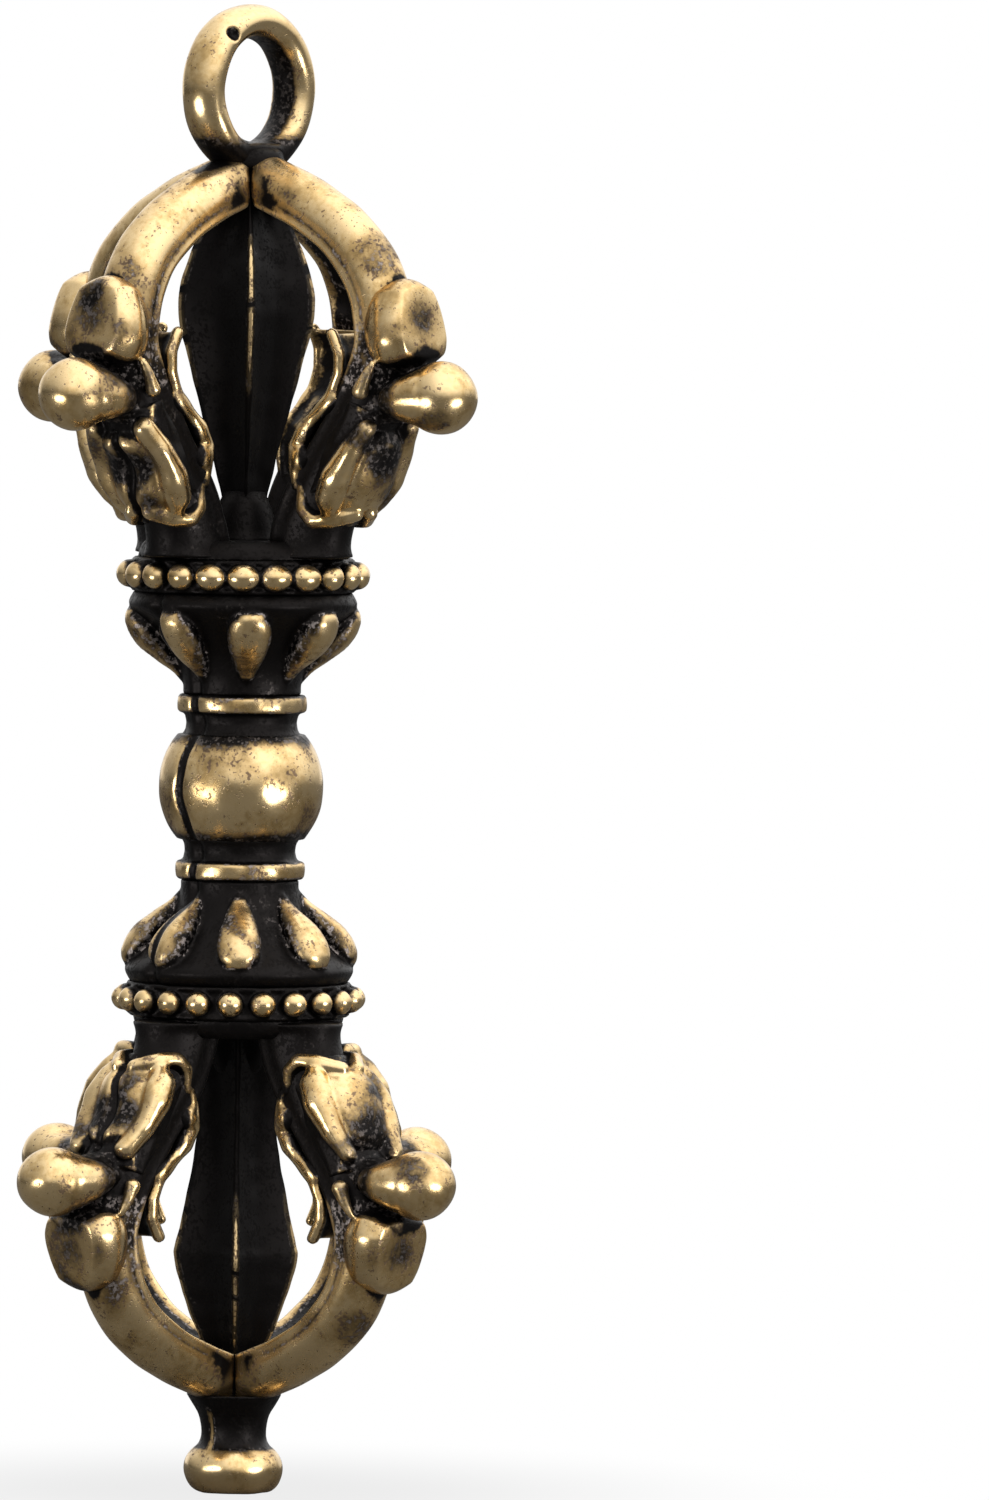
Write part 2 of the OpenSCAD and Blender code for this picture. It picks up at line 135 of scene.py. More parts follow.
def trail(points, radii, count=9, detail=16):
    # A row of balls along a bent line, which melts into a tapered horn
    balls = []
    last = len(points) - 1
    for i in range(count):
        along = i / (count - 1) * last
        k = min(int(along), last - 1)
        part = along - k
        place = Vector(points[k]).lerp(Vector(points[k + 1]), part)
        radius = radii[k] + (radii[k + 1] - radii[k]) * part
        balls.append(ball(place, radius, detail=detail))
    return balls


def bothSides(points):
    return [[(r, side * s, h) for r, s, h in points] for side in (-1, 1)]


def turnedPiece(name, profile, cuts=96):
    # A profile of (radius, height) points, extruded from one corner and spun round the axis
    dropSelection()
    bpy.ops.mesh.primitive_plane_add(size=1)
    piece = bpy.context.object
    editing(piece)
    bpy.ops.mesh.merge(type="CENTER")
    bpy.ops.transform.translate(value=(profile[0][0], 0, profile[0][1]))
    for (r0, z0), (r1, z1) in zip(profile, profile[1:]):
        bpy.ops.mesh.extrude_region_move(TRANSFORM_OT_translate={"value": (r1 - r0, 0, z1 - z0)})
    bpy.ops.mesh.select_all(action="SELECT")
    bpy.ops.mesh.spin(steps=cuts, angle=2 * math.pi, center=(0, 0, 0), axis=(0, 0, 1))
    bpy.ops.object.mode_set(mode="OBJECT")
    return cleaned(named(piece, name))


def sweptPiece(name, rings):
    # A ring is extruded again and again, and each new one is put in its place
    dropSelection()
    bpy.ops.mesh.primitive_circle_add(vertices=len(rings[0]), radius=1, fill_type="NGON")
    piece = bpy.context.object
    editing(piece)
    shape = bmesh.from_edit_mesh(piece.data)
    shape.verts.ensure_lookup_table()
    for corner, point in zip(shape.verts, rings[0]):
        corner.co = point
    for before, ring in zip(rings, rings[1:]):
        bpy.ops.mesh.extrude_region_move()
        shape = bmesh.from_edit_mesh(piece.data)
        for corner in shape.verts:
            if corner.select:
                nearest = min(range(len(ring)), key=lambda k: (Vector(before[k]) - corner.co).length_squared)
                corner.co = ring[nearest]
    bmesh.update_edit_mesh(piece.data)
    bpy.ops.object.mode_set(mode="OBJECT")
    return cleaned(named(piece, name))


def skinData(piece, key):
    values = np.empty(len(piece.data.vertices) * 3, np.float32)
    piece.data.vertices.foreach_get(key, values)
    return values.reshape(-1, 3)


def corners(piece):
    return skinData(piece, "co")


def normals(piece):
    return skinData(piece, "normal")


def pushed(piece, moves):
    piece.data.vertices.foreach_set("co", (corners(piece) + moves).astype(np.float32).ravel())
    piece.data.update()


def castSkin(piece, depth, grain):
    # The slight unevenness of a sand or wax casting
    places = corners(piece)
    rise = np.array([noise.noise(Vector(p) * grain) for p in places])
    pushed(piece, normals(piece) * (rise * depth)[:, None])


def cast(piece, d, smoothing):
    melted(piece, d["voxel"], smoothing)
    castSkin(piece, d["skin"], d["grain"])
    return piece


def dented(piece, place, way, depth, reach):
    # A thumb-like dish: the skin near a place sinks along a way, less and less towards its rim
    far = np.linalg.norm(corners(piece) - np.array(place), axis=1) / reach
    facing = np.clip(normals(piece) @ -np.array(way) * 2, 0, 1)
    sink = facing * (1 - np.clip(far, 0, 1) ** 2) ** 2 * depth
    pushed(piece, sink[:, None] * np.array(way))


def smoothstep(low, high, value):
    part = np.clip((value - low) / (high - low), 0, 1)
    return part * part * (3 - 2 * part)


def painted(piece, amount):
    # Grime and painted shade, set on each piece: 1 stays black, 0 is left to the hollows, -1 is rubbed bright
    marks = piece.data.attributes
    mark = marks.get("grime") or marks.new("grime", "FLOAT", "POINT")
    mark.data.foreach_set("value", np.broadcast_to(amount, len(piece.data.vertices)).astype(np.float32))
    return piece


tarnishPatch = {"shift": (3.1, 1.7, 0.9), "edge": (0.02, 0.5)}


def tarnished(piece, amount, size, seed):
    # Loose patches of tarnish, elsewhere on each copy
    shift = Vector([step * seed for step in tarnishPatch["shift"]])
    patch = np.array([noise.noise(Vector(p) / size + shift) for p in corners(piece)])
    before = paintOn(piece)
    more = amount * smoothstep(*tarnishPatch["edge"], patch)
    return painted(piece, before + more * (1 - np.clip(before, 0, 1)))


def paintOn(piece):
    amount = np.zeros(len(piece.data.vertices), np.float32)
    if "grime" in piece.data.attributes:
        piece.data.attributes["grime"].data.foreach_get("value", amount)
    return amount


def stained(piece, amount):
    return painted(piece, np.maximum(paintOn(piece), amount))


# Where things are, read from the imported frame


def levels(node):
    low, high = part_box(node)
    return low.z / mm, high.z / mm


ballLow, ballHigh = levels("center_ball")
ballLevel = (ballLow + ballHigh) / 2
upperBase = levels("upper_bead_ring")[1]
lowerBase = levels("lower_bead_ring")[0]
crownTop = levels("crown_cap")[1]
loopTop = levels("hanging_loop")[1]
lowerTurn = math.radians(-4)  # the lower cage stands slightly turned


def placed(piece, matrix):
    piece.data.transform(matrix)
    if matrix.determinant() < 0:
        editing(piece)
        bpy.ops.mesh.normals_make_consistent(inside=False)
        bpy.ops.object.mode_set(mode="OBJECT")
    return piece


def copyOf(piece, name):
    pick(piece)
    bpy.ops.object.duplicate(linked=False)
    return named(bpy.context.object, name)


def standing(level):
    return Matrix.Translation((0, 0, level))


def hanging(level):
    return standing(level) @ Matrix.Diagonal((1, 1, -1, 1)) @ Matrix.Rotation(lowerTurn, 4, "Z")


onUpperCage, onUpperHub = standing(upperBase), standing(ballLevel)
onLowerCage, onLowerHub = hanging(lowerBase), hanging(ballLevel)


def quarter(i):
    return Matrix.Rotation(math.radians(90 * (i - 1)), 4, "Z")


pieces = []  # (piece, node that it stands for, material slot)


def keep(piece, node, slot):
    pieces.append((piece, node, slot))
    return piece


# Lines through given points


def blend(a, b, t):
    return a + (b - a) * t


def between3(foot, belly, tip, u):
    return blend(foot, belly, u) if u < 1 else blend(belly, tip, u - 1)


def lineAt(points, t):
    along = t * (len(points) - 1)
    k = min(int(along), len(points) - 2)
    return [blend(a, b, along - k) for a, b in zip(points[k], points[k + 1])]


def roundedAt(points, t):
    # As lineAt, but the line is rounded at its points
    along = t * (len(points) - 1)
    k = min(int(along), len(points) - 2)
    part = along - k
    p = [points[max(0, k - 1)], points[k], points[k + 1], points[min(len(points) - 1, k + 2)]]
    return [0.5 * (2 * b + (c - a) * part + (2 * a - 5 * b + 4 * c - e) * part ** 2
                   + (3 * b - a - 3 * c + e) * part ** 3)
            for a, b, c, e in zip(*p)]


def roundedLine(points, steps):
    return [roundedAt(points, k / steps) for k in range(steps + 1)]


def raised(points, level):
    return [(r, level + h) for r, h in points]


def radiusAt(heights, line):
    return np.interp(heights, [h for r, h in line], [r for r, h in line])


def fade(level, span, value):
    # A smooth step whose span is counted from a level
    return smoothstep(level + span[0], level + span[1], value)


# The line that a prong follows, as (distance from the axis, height over the bead ring)

prongLine = {
    "footR": 3.5, "footH": 0.45, "footLift": 2.0,
    "bellyR": 6.15, "bellyPull": 2.6, "shoulderPull": 3.3,
    "tipRun": 3.0, "tipDrop": 1.0,
    "upper": {"rise": 12.97, "belly": 7.5},
    "lower": {"rise": 12.47, "belly": 7.1},
}


def bent(p, t):
    return [(1 - t) ** 3 * a + 3 * (1 - t) ** 2 * t * b + 3 * (1 - t) * t * t * c + t ** 3 * d
            for a, b, c, d in zip(*p)]


def prongPoint(u, cage):
    d = prongLine
    belly, rise = d[cage]["belly"], d[cage]["rise"]
    if u < 1:
        return bent([(d["footR"], d["footH"]), (d["footR"], d["footH"] + d["footLift"]),
                     (d["bellyR"], belly - d["bellyPull"]), (d["bellyR"], belly)], u)
    return bent([(d["bellyR"], belly), (d["bellyR"], belly + d["shoulderPull"]),
                 (d["tipRun"], rise - d["tipDrop"]), (0, rise)], u - 1)


def beside(u, out, side, cage):
    # A point beside the prong's line: out is away from the cage's middle, side is across the prong
    step = 0.004
    (r0, h0), (r1, h1) = prongPoint(max(0, u - step), cage), prongPoint(min(2, u + step), cage)
    length = math.hypot(r1 - r0, h1 - h0)
    r, h = prongPoint(u, cage)
    return (r + out * (h1 - h0) / length, side, h - out * (r1 - r0) / length)


# Prongs: half-round bars with a flat, hollowed inner face and a groove along each inner edge

prongShape = {
    "halfWidth": (1.32, 1.12, 1.05), "dome": (0.9, 1.0, 0.8), "edgeIn": (1.3, 0.45, 0.8),  # foot, belly, tip
    "domePower": 0.85, "flankPower": 0.9, "hollow": 0.14, "edgeRound": 0.06,
    "rimAt": 0.34, "rimWide": 0.16, "rimGroove": 0.07, "arcPoints": 27, "rings": 62, "endAt": 1.985,
    "root": [(0.32, 1.04), (0.17, 1.12), (0.03, 1.26)],  # height and spread
    "skin": 0.03, "grain": 0.9,
}
prongPaint = {
    "cleft": {"across": (0.08, 0.0), "out": (1.3, 0.9), "overTip": (-0.4, 0.2)},
    "underside": {"lean": (-0.1, -0.5), "height": (8.0, 9.5)},
    "besideHead": {"height": (6.6, 5.6), "faintHeight": (9.2, 7.4), "faint": 0.7},
    "groove": {"amount": 0.62, "wide": 0.13, "out": (1.2, 2.6)},
    "brightTip": {"amount": 0.45, "out": (1.9, 1.2)},
    "brightEdge": {"amount": 0.6, "over": (0.2, 0.08)},
    "flank": (0.6, 0.85), "darkWins": 2.5,
    "tarnish": {"amount": 0.5, "size": 1.8},
}


def prongSection(u):
    d = prongShape
    half, dome, edgeIn = (between3(*d[key], u) for key in ("halfWidth", "dome", "edgeIn"))
    points = []
    for k in range(d["arcPoints"]):
        a = math.pi * k / (d["arcPoints"] - 1)
        c = math.cos(a)
        rise = (dome + edgeIn) * abs(math.sin(a)) ** d["domePower"]
        side = half * (1 - d["rimGroove"] * math.exp(-((rise - d["rimAt"]) / d["rimWide"]) ** 2))
        points.append((rise - edgeIn, side * math.copysign(abs(c) ** d["flankPower"], c)))
    lip, hollow = d["edgeRound"], d["hollow"]
    rim, dip = -edgeIn - lip * 0.6, -edgeIn + hollow * 0.5
    return points + [(rim, -half + lip), (dip, -half * 0.6), (-edgeIn + hollow, 0),
                     (dip, half * 0.6), (rim, half - lip)]


def makeProng(cage):
    d = prongShape
    rings = []
    for k in range(d["rings"] + 1):
        u = d["endAt"] * k / d["rings"]
        rings.append([beside(u, out, side, cage) for out, side in prongSection(u)])
    foot, middle = rings[0], prongLine["footR"]
    for h, spread in d["root"]:
        rings.insert(0, [(middle + (x - middle) * (spread if x < middle else 1), y * spread, h)
                         for x, y, z in foot])
    prong = sweptPiece(cage + "Prong", rings)
    editing(prong)
    for way in ((-1, 1, 0), (-1, -1, 0)):  # the tips are mitred against their neighbours
        bpy.ops.mesh.select_all(action="SELECT")
        bpy.ops.mesh.bisect(plane_co=(0.02, 0, 0), plane_no=way, use_fill=True, clear_outer=True)
    bpy.ops.object.mode_set(mode="OBJECT")
    finishWith(prong, "SUBSURF", levels=1, render_levels=1)
    castSkin(prong, d["skin"], d["grain"])
    return paintedProng(prong, cage)


def paintedProng(prong, cage):
    p = prongPaint
    x, y, z = corners(prong).T
    overEdge, flank = rimPlace(prong, cage)
    cleft = (smoothstep(*p["cleft"]["across"], x - np.abs(y)) * smoothstep(*p["cleft"]["out"], x)
             * fade(prongLine[cage]["rise"], p["cleft"]["overTip"], z))
    # Faces turned down near the prong's top are darkened: painted shade
    underside = (smoothstep(*p["underside"]["lean"], normals(prong)[:, 2])
                 * smoothstep(*p["underside"]["height"], z))
    besideHead = np.maximum(smoothstep(*p["besideHead"]["height"], z),
                            p["besideHead"]["faint"] * smoothstep(*p["besideHead"]["faintHeight"], z))
    offGroove = (overEdge - prongShape["rimAt"]) / p["groove"]["wide"]
    groove = p["groove"]["amount"] * flank * np.exp(-offGroove ** 2) * smoothstep(*p["groove"]["out"], x)
    dark = np.max([besideHead, cleft, underside * (1 - flank), groove], 0)
    bright = np.maximum(p["brightTip"]["amount"] * smoothstep(*p["brightTip"]["out"], x),
                        p["brightEdge"]["amount"] * flank * smoothstep(*p["brightEdge"]["over"], overEdge))
    return painted(prong, dark - bright * (1 - np.clip(p["darkWins"] * dark, 0, 1)))


def rimPlace(prong, cage):
    # How far each place lies over the inner edge, and whether it is on a flank
    us = np.linspace(0, prongShape["endAt"], 300)
    line = np.array([prongPoint(u, cage) for u in us])
    way = np.gradient(line, axis=0)
    way /= np.linalg.norm(way, axis=1)[:, None]
    x, y, z = corners(prong).T
    near = np.argmin((x[:, None] - line[:, 0]) ** 2 + (z[:, None] - line[:, 1]) ** 2, axis=1)
    out = (x - line[near, 0]) * way[near, 1] - (z - line[near, 1]) * way[near, 0]
    edgeIn, half = (np.interp(us[near], (0, 1, 2), prongShape[key]) for key in ("edgeIn", "halfWidth"))
    return out + edgeIn, smoothstep(*prongPaint["flank"], np.abs(y) / half)


# Makara heads: lumps melted together, then dished and pocketed
# A head lies on +X, and its places are (distance from the axis, side, height over the bead ring)

headShape = {
    "voxel": 0.066, "smoothing": 5, "skin": 0.03, "grain": 1.1, "dishFade": (0.95, 0.1),
    "sleeve": {"from": 0.16, "to": 0.72, "out": 0.3, "half": 1.2, "rings": 16, "sides": 20,
               "inside": 1.15, "thinInside": 0.45, "thinFrom": 0.55, "thinOver": 0.12,
               "startShare": 0.82, "startOver": 0.2},
    "cheek": {"place": (4.35, 0, 2.15), "radii": (0.9, 1.08, 0.95)},
    "brow": {"place": (5.05, 0, 3.28), "radii": (1.48, 1.3, 1.8), "turn": 37, "roundness": 0.86, "taper": 0.0,
             "dish": (6.25, 0.6, 2.9), "dishWay": (-0.75, -0.25, 0.5), "dishDepth": 0.45, "dishReach": 1.45,
             "stain": 0.8},
    "browMiddle": {"dish": (6.4, 0, 3.4), "dishWay": (-0.75, 0, 0.5), "dishDepth": 0.42, "dishReach": 2.1,
                   "stain": 0.8},
    "ridge": {"line": [(4.6, 1.02, 1.72), (4.78, 1.16, 2.15), (5.2, 1.26, 2.8), (5.8, 1.2, 3.65),
                       (6.3, 1.05, 4.4)],
              "radii": (0.34, 0.52, 0.6, 0.52, 0.4), "balls": 30},
    "ear": {"line": [(5.25, 0.35, 1.62), (4.6, 0.88, 1.42), (3.98, 1.08, 1.4), (3.58, 1.12, 1.75),
                     (3.52, 1.1, 2.45)],
            "radii": (0.27, 0.33, 0.31, 0.27, 0.18), "balls": 32},
    "pocket": {"place": (4.25, 1.2, 1.95), "depth": 0.45, "reach": 0.5},
    "nose": {"place": (8.6, 0, 5.55), "radius": 1.22,
             "stalk": [(5.5, 0, 5.3), (7.2, 0, 5.5), (8.4, 0, 5.55)], "stalkRadii": (1.0, 0.8, 1.1),
             "stalkBalls": 8,
             "tail": [(8.2, 0.3, 5.56), (7.6, 0.6, 5.5), (7.2, 0.76, 5.44)], "tailRadii": (1.0, 0.76, 0.55),
             "tailBalls": 18},
    "lip": {"place": (7.0, 0, 7.92), "radii": (1.16, 1.55, 1.58), "turn": -9, "roundness": 0.82, "taper": 0.2,
            "dish": (8.2, 0, 8.15), "dishWay": (-1, 0, -0.1), "dishDepth": 0.36, "dishReach": 1.65,
            "stain": 0.6},
    "drop": {"line": [(6.65, 1.25, 6.65), (6.42, 1.32, 6.2), (6.2, 1.32, 5.72)], "radii": (0.12, 0.2, 0.28),
             "balls": 20},
    "jaw": {"line": [(3.3, 2.5), (3.14, 3.2), (3.12, 3.8), (3.42, 4.4), (4.1, 4.95), (4.66, 5.5), (5.04, 6.3),
                     (5.04, 6.95), (4.72, 7.6)],
            "half": 1.05, "thick": 0.14, "steps": 24,
            "edge": 1.08, "rim": 0.2, "rimDeep": 1.2, "flat": 0.19, "rimSteps": 64,
            "teeth": [(5.25, 0.12), (4.35, 0.13), (3.45, 0.19)],  # height and rise
            "toothWide": 0.3, "toothOut": 1.3, "toothFlat": 0.6},
    "seam": {"width": 0.2, "depth": 0.26, "sway": 0.08, "wave": 2.7, "in": -0.8, "up": 0.6,
             "browFrom": (4.2, 4.6), "browTo": (7.1, 6.8), "underNose": (4.4, 4.1), "stain": (0.25, 0.6)},
}
headPaint = {
    "ridgeLine": [(4.1, 1.0), (4.3, 2.1), (4.72, 2.75), (5.36, 3.65), (5.9, 4.45), (5.95, 5.0), (5.95, 7.0)],
    "behindRidge": {"out": (0.15, -0.15), "overJaw": (0.3, 0.5), "height": (1.6, 2.2)},
    "noseRoot": {"amount": 0.82, "level": 5.5, "reach": (1.1, 0.8), "from": (6.3, 6.5), "to": (8.1, 7.1)},
    "tarnish": {"amount": 0.6, "size": 1.5},
}


def sleeveRing(u, grow):
    d = headShape["sleeve"]
    dome = between3(*prongShape["dome"], u) + d["out"]
    inside = d["inside"]
    if u >= d["thinFrom"]:
        inside = blend(inside, d["thinInside"], min(1, (u - d["thinFrom"]) / d["thinOver"]))
    ring = []
    for k in range(d["sides"]):
        a = 2 * math.pi * k / d["sides"]
        out = math.sin(a) * (dome if math.sin(a) > 0 else inside)
        ring.append(beside(u, out * grow, math.cos(a) * d["half"] * grow, "upper"))
    return ring


def headSleeve():
    d = headShape["sleeve"]
    rings = []
    for k in range(d["rings"] + 1):
        t = k / d["rings"]
        grow = blend(d["startShare"], 1, min(1, t / d["startOver"]))
        rings.append(sleeveRing(blend(d["from"], d["to"], t), grow))
    return sweptPiece("sleeve", rings)


def headPillow(form):
    d = headShape[form]
    return pillow(d["place"], d["radii"], (0, math.radians(d["turn"]), 0), d["roundness"], d["taper"])


def headHorns(form):
    d = headShape[form]
    return [part for line in bothSides(d["line"]) for part in trail(line, d["radii"], d["balls"])]


def headNose():
    d = headShape["nose"]
    parts = [ball(d["place"], d["radius"], detail=48)]
    parts += trail(d["stalk"], d["stalkRadii"], d["stalkBalls"], 24)
    for line in bothSides(d["tail"]):
        parts += trail(line, d["tailRadii"], d["tailBalls"], 24)
    return parts


def headJaw():
    d = headShape["jaw"]
    w, t = d["half"], d["thick"]
    rings = []
    for k in range(d["steps"] + 1):
        r, h = lineAt(d["line"], k / d["steps"])
        rings.append([(r - t, s, h) for s in (-w, 0, w)] + [(r + t, s, h) for s in (w, 0, -w)])
    parts = [sweptPiece("jaw", rings)]
    for side in (-1, 1):
        for k in range(d["rimSteps"] + 1):
            r, h = lineAt(d["line"], k / d["rimSteps"])
            tooth = sum(rise * math.exp(-((h - at) / d["toothWide"]) ** 2) for at, rise in d["teeth"])
            radius = d["rim"] + tooth
            place = (r + d["toothOut"] * tooth, side * d["edge"], h)
            size = (d["rimDeep"] * radius, d["flat"] + d["toothFlat"] * tooth, radius)
            parts.append(ball(place, size, detail=16))
    return parts


def makeHead():
    d = headShape
    parts = [headSleeve(), headPillow("brow"), ball(d["cheek"]["place"], d["cheek"]["radii"], detail=32)]
    parts += headHorns("ridge") + headHorns("ear") + headNose()
    parts += [headPillow("lip")] + headHorns("drop") + headJaw()
    head = melted(joined("makaraHead", parts), d["voxel"], d["smoothing"])
    dished(head, "lip", 1)
    for side in (-1, 1):
        r, s, h = d["pocket"]["place"]
        dented(head, (r, side * s, h), (0, -side, 0), d["pocket"]["depth"], d["pocket"]["reach"])
    castSkin(head, d["skin"], d["grain"])
    x, y, z = corners(head).T
    ridge, root = headPaint["behindRidge"], headPaint["noseRoot"]
    behindRidge = (smoothstep(*ridge["out"], x - radiusAt(z, headPaint["ridgeLine"]))
                   * smoothstep(*ridge["overJaw"], x - radiusAt(z, d["jaw"]["line"]))
                   * smoothstep(*ridge["height"], z))
    noseRoot = (smoothstep(*root["to"], x) * smoothstep(*root["reach"], np.abs(z - root["level"]))
                * smoothstep(*root["from"], x))
    return stained(head, np.maximum(root["amount"] * noseRoot, behindRidge))


def dished(head, form, side):
    d = headShape[form]
    place, way = (np.array(d[key]) * (1, side, 1) for key in ("dish", "dishWay"))
    far = np.linalg.norm(corners(head) - place, axis=1) / d["dishReach"]
    dented(head, place, way, d["dishDepth"], d["dishReach"])
    stained(head, d["stain"] * smoothstep(*headShape["dishFade"], far))


def splitBrow(head):
    # On the mould's parting line the brow is cut by a dark, wavy groove
    d = headShape["seam"]
    x, y, z = corners(head).T
    off = np.abs(y - d["sway"] * np.sin(z * d["wave"])) / d["width"]
    onBrow = smoothstep(*d["browFrom"], x) * smoothstep(*d["browTo"], x) * smoothstep(*d["underNose"], z)
    groove = np.exp(-off ** 2) * onBrow
    pushed(head, np.stack([d["in"] * groove, 0 * groove, d["up"] * groove], 1) * d["depth"])
    stained(head, smoothstep(*d["stain"], groove))


head = makeHead()  # modelled on the upper prong, and scaled for the lower cage
for cage, home in (("upper", onUpperCage), ("lower", onLowerCage)):
    prong = makeProng(cage)
    if cage == "lower":
        share = prongLine["lower"]["belly"] / prongLine["upper"]["belly"]
        head.data.transform(Matrix.Diagonal((1, 1, share, 1)))
    for i in (1, 2, 3, 4):
        bar = copyOf(prong, f"{cage}ProngBar{i}")
        tarnished(bar, seed=i, **prongPaint["tarnish"])
        keep(placed(bar, home @ quarter(i)), f"{cage}_prong_{i}", "antique_brass")
        mask = copyOf(head, f"{cage}MakaraHead{i}")
        if i in (1, 3):
            dished(mask, "brow", -1)
            dished(mask, "brow", 1)
            splitBrow(mask)
        else:
            dished(mask, "browMiddle", 1)
        tarnished(mask, seed=i, **headPaint["tarnish"])
        keep(placed(mask, home @ quarter(i)), f"{cage}_head_{i}", "polished_brass")
    bpy.data.objects.remove(prong)
    print("made the", cage, "prongs and heads")
bpy.data.objects.remove(head)


# Blades: four sharp edges between the prongs, with hollow faces

bladeShape = {
    "upper": [(0.62, 0.5), (0.66, 1.4), (0.9, 2.6), (1.3, 4.2), (1.78, 6.0), (2.2, 7.6), (2.31, 8.3),
              (2.22, 9.2), (1.9, 10.2), (1.5, 11.1), (1.1, 11.9), (0.95, 12.5), (0.92, 13.3)],
    "lower": [(1.4, 0.5), (1.38, 1.4), (1.32, 2.6), (1.36, 4.2), (1.62, 5.8), (2.0, 7.6), (2.1, 8.1),
              (1.9, 8.9), (1.62, 9.8), (1.25, 10.7), (0.95, 11.4), (0.9, 12.0), (0.9, 12.8)],
    "foot": [(0.0, 0.5), (1.3, 0.5), (1.16, 0.7), (1.08, 1.0), (1.0, 1.4), (0.86, 1.8), (0.7, 2.2),
             (0.0, 2.3)],
    "faceShare": 0.6, "facePower": 0.62, "sides": 32, "steps": 56, "skin": 0.035, "grain": 1.6,
}
bladeWear = {
    "upper": (5.2, 11.0), "lower": (5.6, 11.6), "fadeIn": 1.8, "fadeOut": 0.8,  # heights
    "least": 0.03, "uneven": 0.12, "lift": 0.6, "bare": 0.02, "breaks": (-0.5, -0.2), "grain": (5, 5, 2.4),
}


def makeBlade(cage, home):
    d = bladeShape
    rings = []
    for edge, h in roundedLine(d[cage], d["steps"]):
        ring = []
        for j in range(d["sides"]):
            a = 2 * math.pi * j / d["sides"] + math.pi / 4
            fold = abs(math.sin(2 * (a - math.pi / 4)))  # 0 on an edge, 1 in the middle of a face
            r = edge * blend(1, d["faceShare"], fold ** d["facePower"])
            ring.append((r * math.cos(a), r * math.sin(a), h))
        rings.append(ring)
    spear = sweptPiece("spear", rings)
    finishWith(spear, "SUBSURF", levels=1, render_levels=1, subdivision_type="SIMPLE")
    blade = joined(f"{cage}Blade", [spear, turnedPiece("foot", d["foot"], 48)])
    castSkin(blade, d["skin"], d["grain"])
    w = bladeWear
    x, y, z = corners(blade).T
    offEdge = np.abs(np.sin(2 * np.arctan2(y, x) + math.pi / 2)) * np.hypot(x, y) / 2
    gx, gy, gz = w["grain"]
    broken = np.array([noise.noise(Vector((gx * a, gy * b, gz * c))) for a, b, c in zip(x, y, z)])
    worn = (smoothstep(w["least"] + w["uneven"] * (broken + w["lift"]), w["bare"], offEdge)
            * smoothstep(*w["breaks"], broken))
    low, high = w[cage]
    worn *= smoothstep(low, low + w["fadeIn"], z) * smoothstep(high, high - w["fadeOut"], z)
    painted(blade, 1 - 2 * worn)
    return keep(placed(blade, home), f"{cage}_blade", "blackened_brass")


# Hub: everything between the two cages, half by half, counted from the middle of the ball

hubShape = {
    "voxel": 0.07, "neckAt": 1.75, "bandAt": 2.5, "lotusAt": 3.1, "beadAt": 6.55, "cageAt": 7.7,
    "coreRadius": 0.85, "skin": 0.025, "grain": 1.3,
    "seam": {"turn": 8.5, "width": 0.22, "depth": 0.18, "sway": 0.05, "longWave": 1.9, "shortWave": 4.3,
             "shortShare": 0.6, "side": -0.5, "stain": (0.25, 0.6)},
    "tarnish": {"amount": 0.5, "size": 0.9, "seed": 5},
}
ballShape = {
    "radius": 2.77, "overlap": 0.02, "steps": 40, "poles": (1.2, 1.72), "polesDark": 0.75,
    "tarnish": {"amount": 0.42, "size": 1.5, "seed": 7},
}


def bored(wall, low, high):
    core = hubShape["coreRadius"]
    return [(core, low), *wall, (core, high), (core, low)]


def makeBall():
    d, hub = ballShape, hubShape
    low = hub["neckAt"] + d["overlap"]
    lean = math.asin(low / d["radius"])
    arc = [(d["radius"] * math.cos(a), d["radius"] * math.sin(a))
           for a in (blend(-lean, lean, k / d["steps"]) for k in range(d["steps"] + 1))]
    piece = cast(turnedPiece("centerBall", bored(arc, -low, low)), hub, 2)
    return painted(piece, d["polesDark"] * smoothstep(*d["poles"], np.abs(corners(piece)[:, 2])))


collarShape = {  # (radius, height) from the bottom of the neck, from the band and from the lotus
    "neck": [(2.02, 0.0), (1.9, 0.2), (1.86, 0.45)], "sink": 0.03,
    "band": [(1.92, -0.02), (2.08, 0.0), (2.16, 0.08), (2.17, 0.3)],
    "top": [(2.15, -0.1), (2.07, 0.0)],
    "voxel": 0.06, "skin": 0.05, "grain": 1.3, "underBand": (0.14, -0.02), "underLotus": (-0.16, -0.02),
}


def makeCollar():
    d, hub = collarShape, hubShape
    neck, band, lotus = hub["neckAt"] - d["sink"], hub["bandAt"], hub["lotusAt"]
    wall = raised(d["neck"], neck) + raised(d["band"], band) + raised(d["top"], lotus)
    piece = cast(turnedPiece("collar", bored(wall, neck, lotus)), d, 2)
    z = corners(piece)[:, 2]
    return painted(piece, np.maximum(fade(band, d["underBand"], z), fade(lotus, d["underLotus"], z)))


lotusShape = {
    "profile": [(1.98, 0.0), (1.98, 0.35), (2.1, 0.85), (2.36, 1.4), (2.78, 1.95), (3.28, 2.45), (3.68, 2.8),
                (3.84, 3.08), (3.66, 3.45)],
    "petals": 8,
    "petal": [(1.98, 0.5, 0.16), (2.26, 1.0, 0.4), (2.74, 1.5, 0.62), (3.22, 2.0, 0.76), (3.5, 2.4, 0.7),
              (3.56, 2.62, 0.48)],  # radius, height and half width
    "thin": 0.64, "tall": 0.8, "lean": 0.5, "wallSteps": 30, "petalSteps": 16,
    "offPetal": (0.38, 1.36), "overCup": (0.2, 0.02), "lowEnd": (0.75, 0.5), "highEnd": (2.7, 2.9),
}


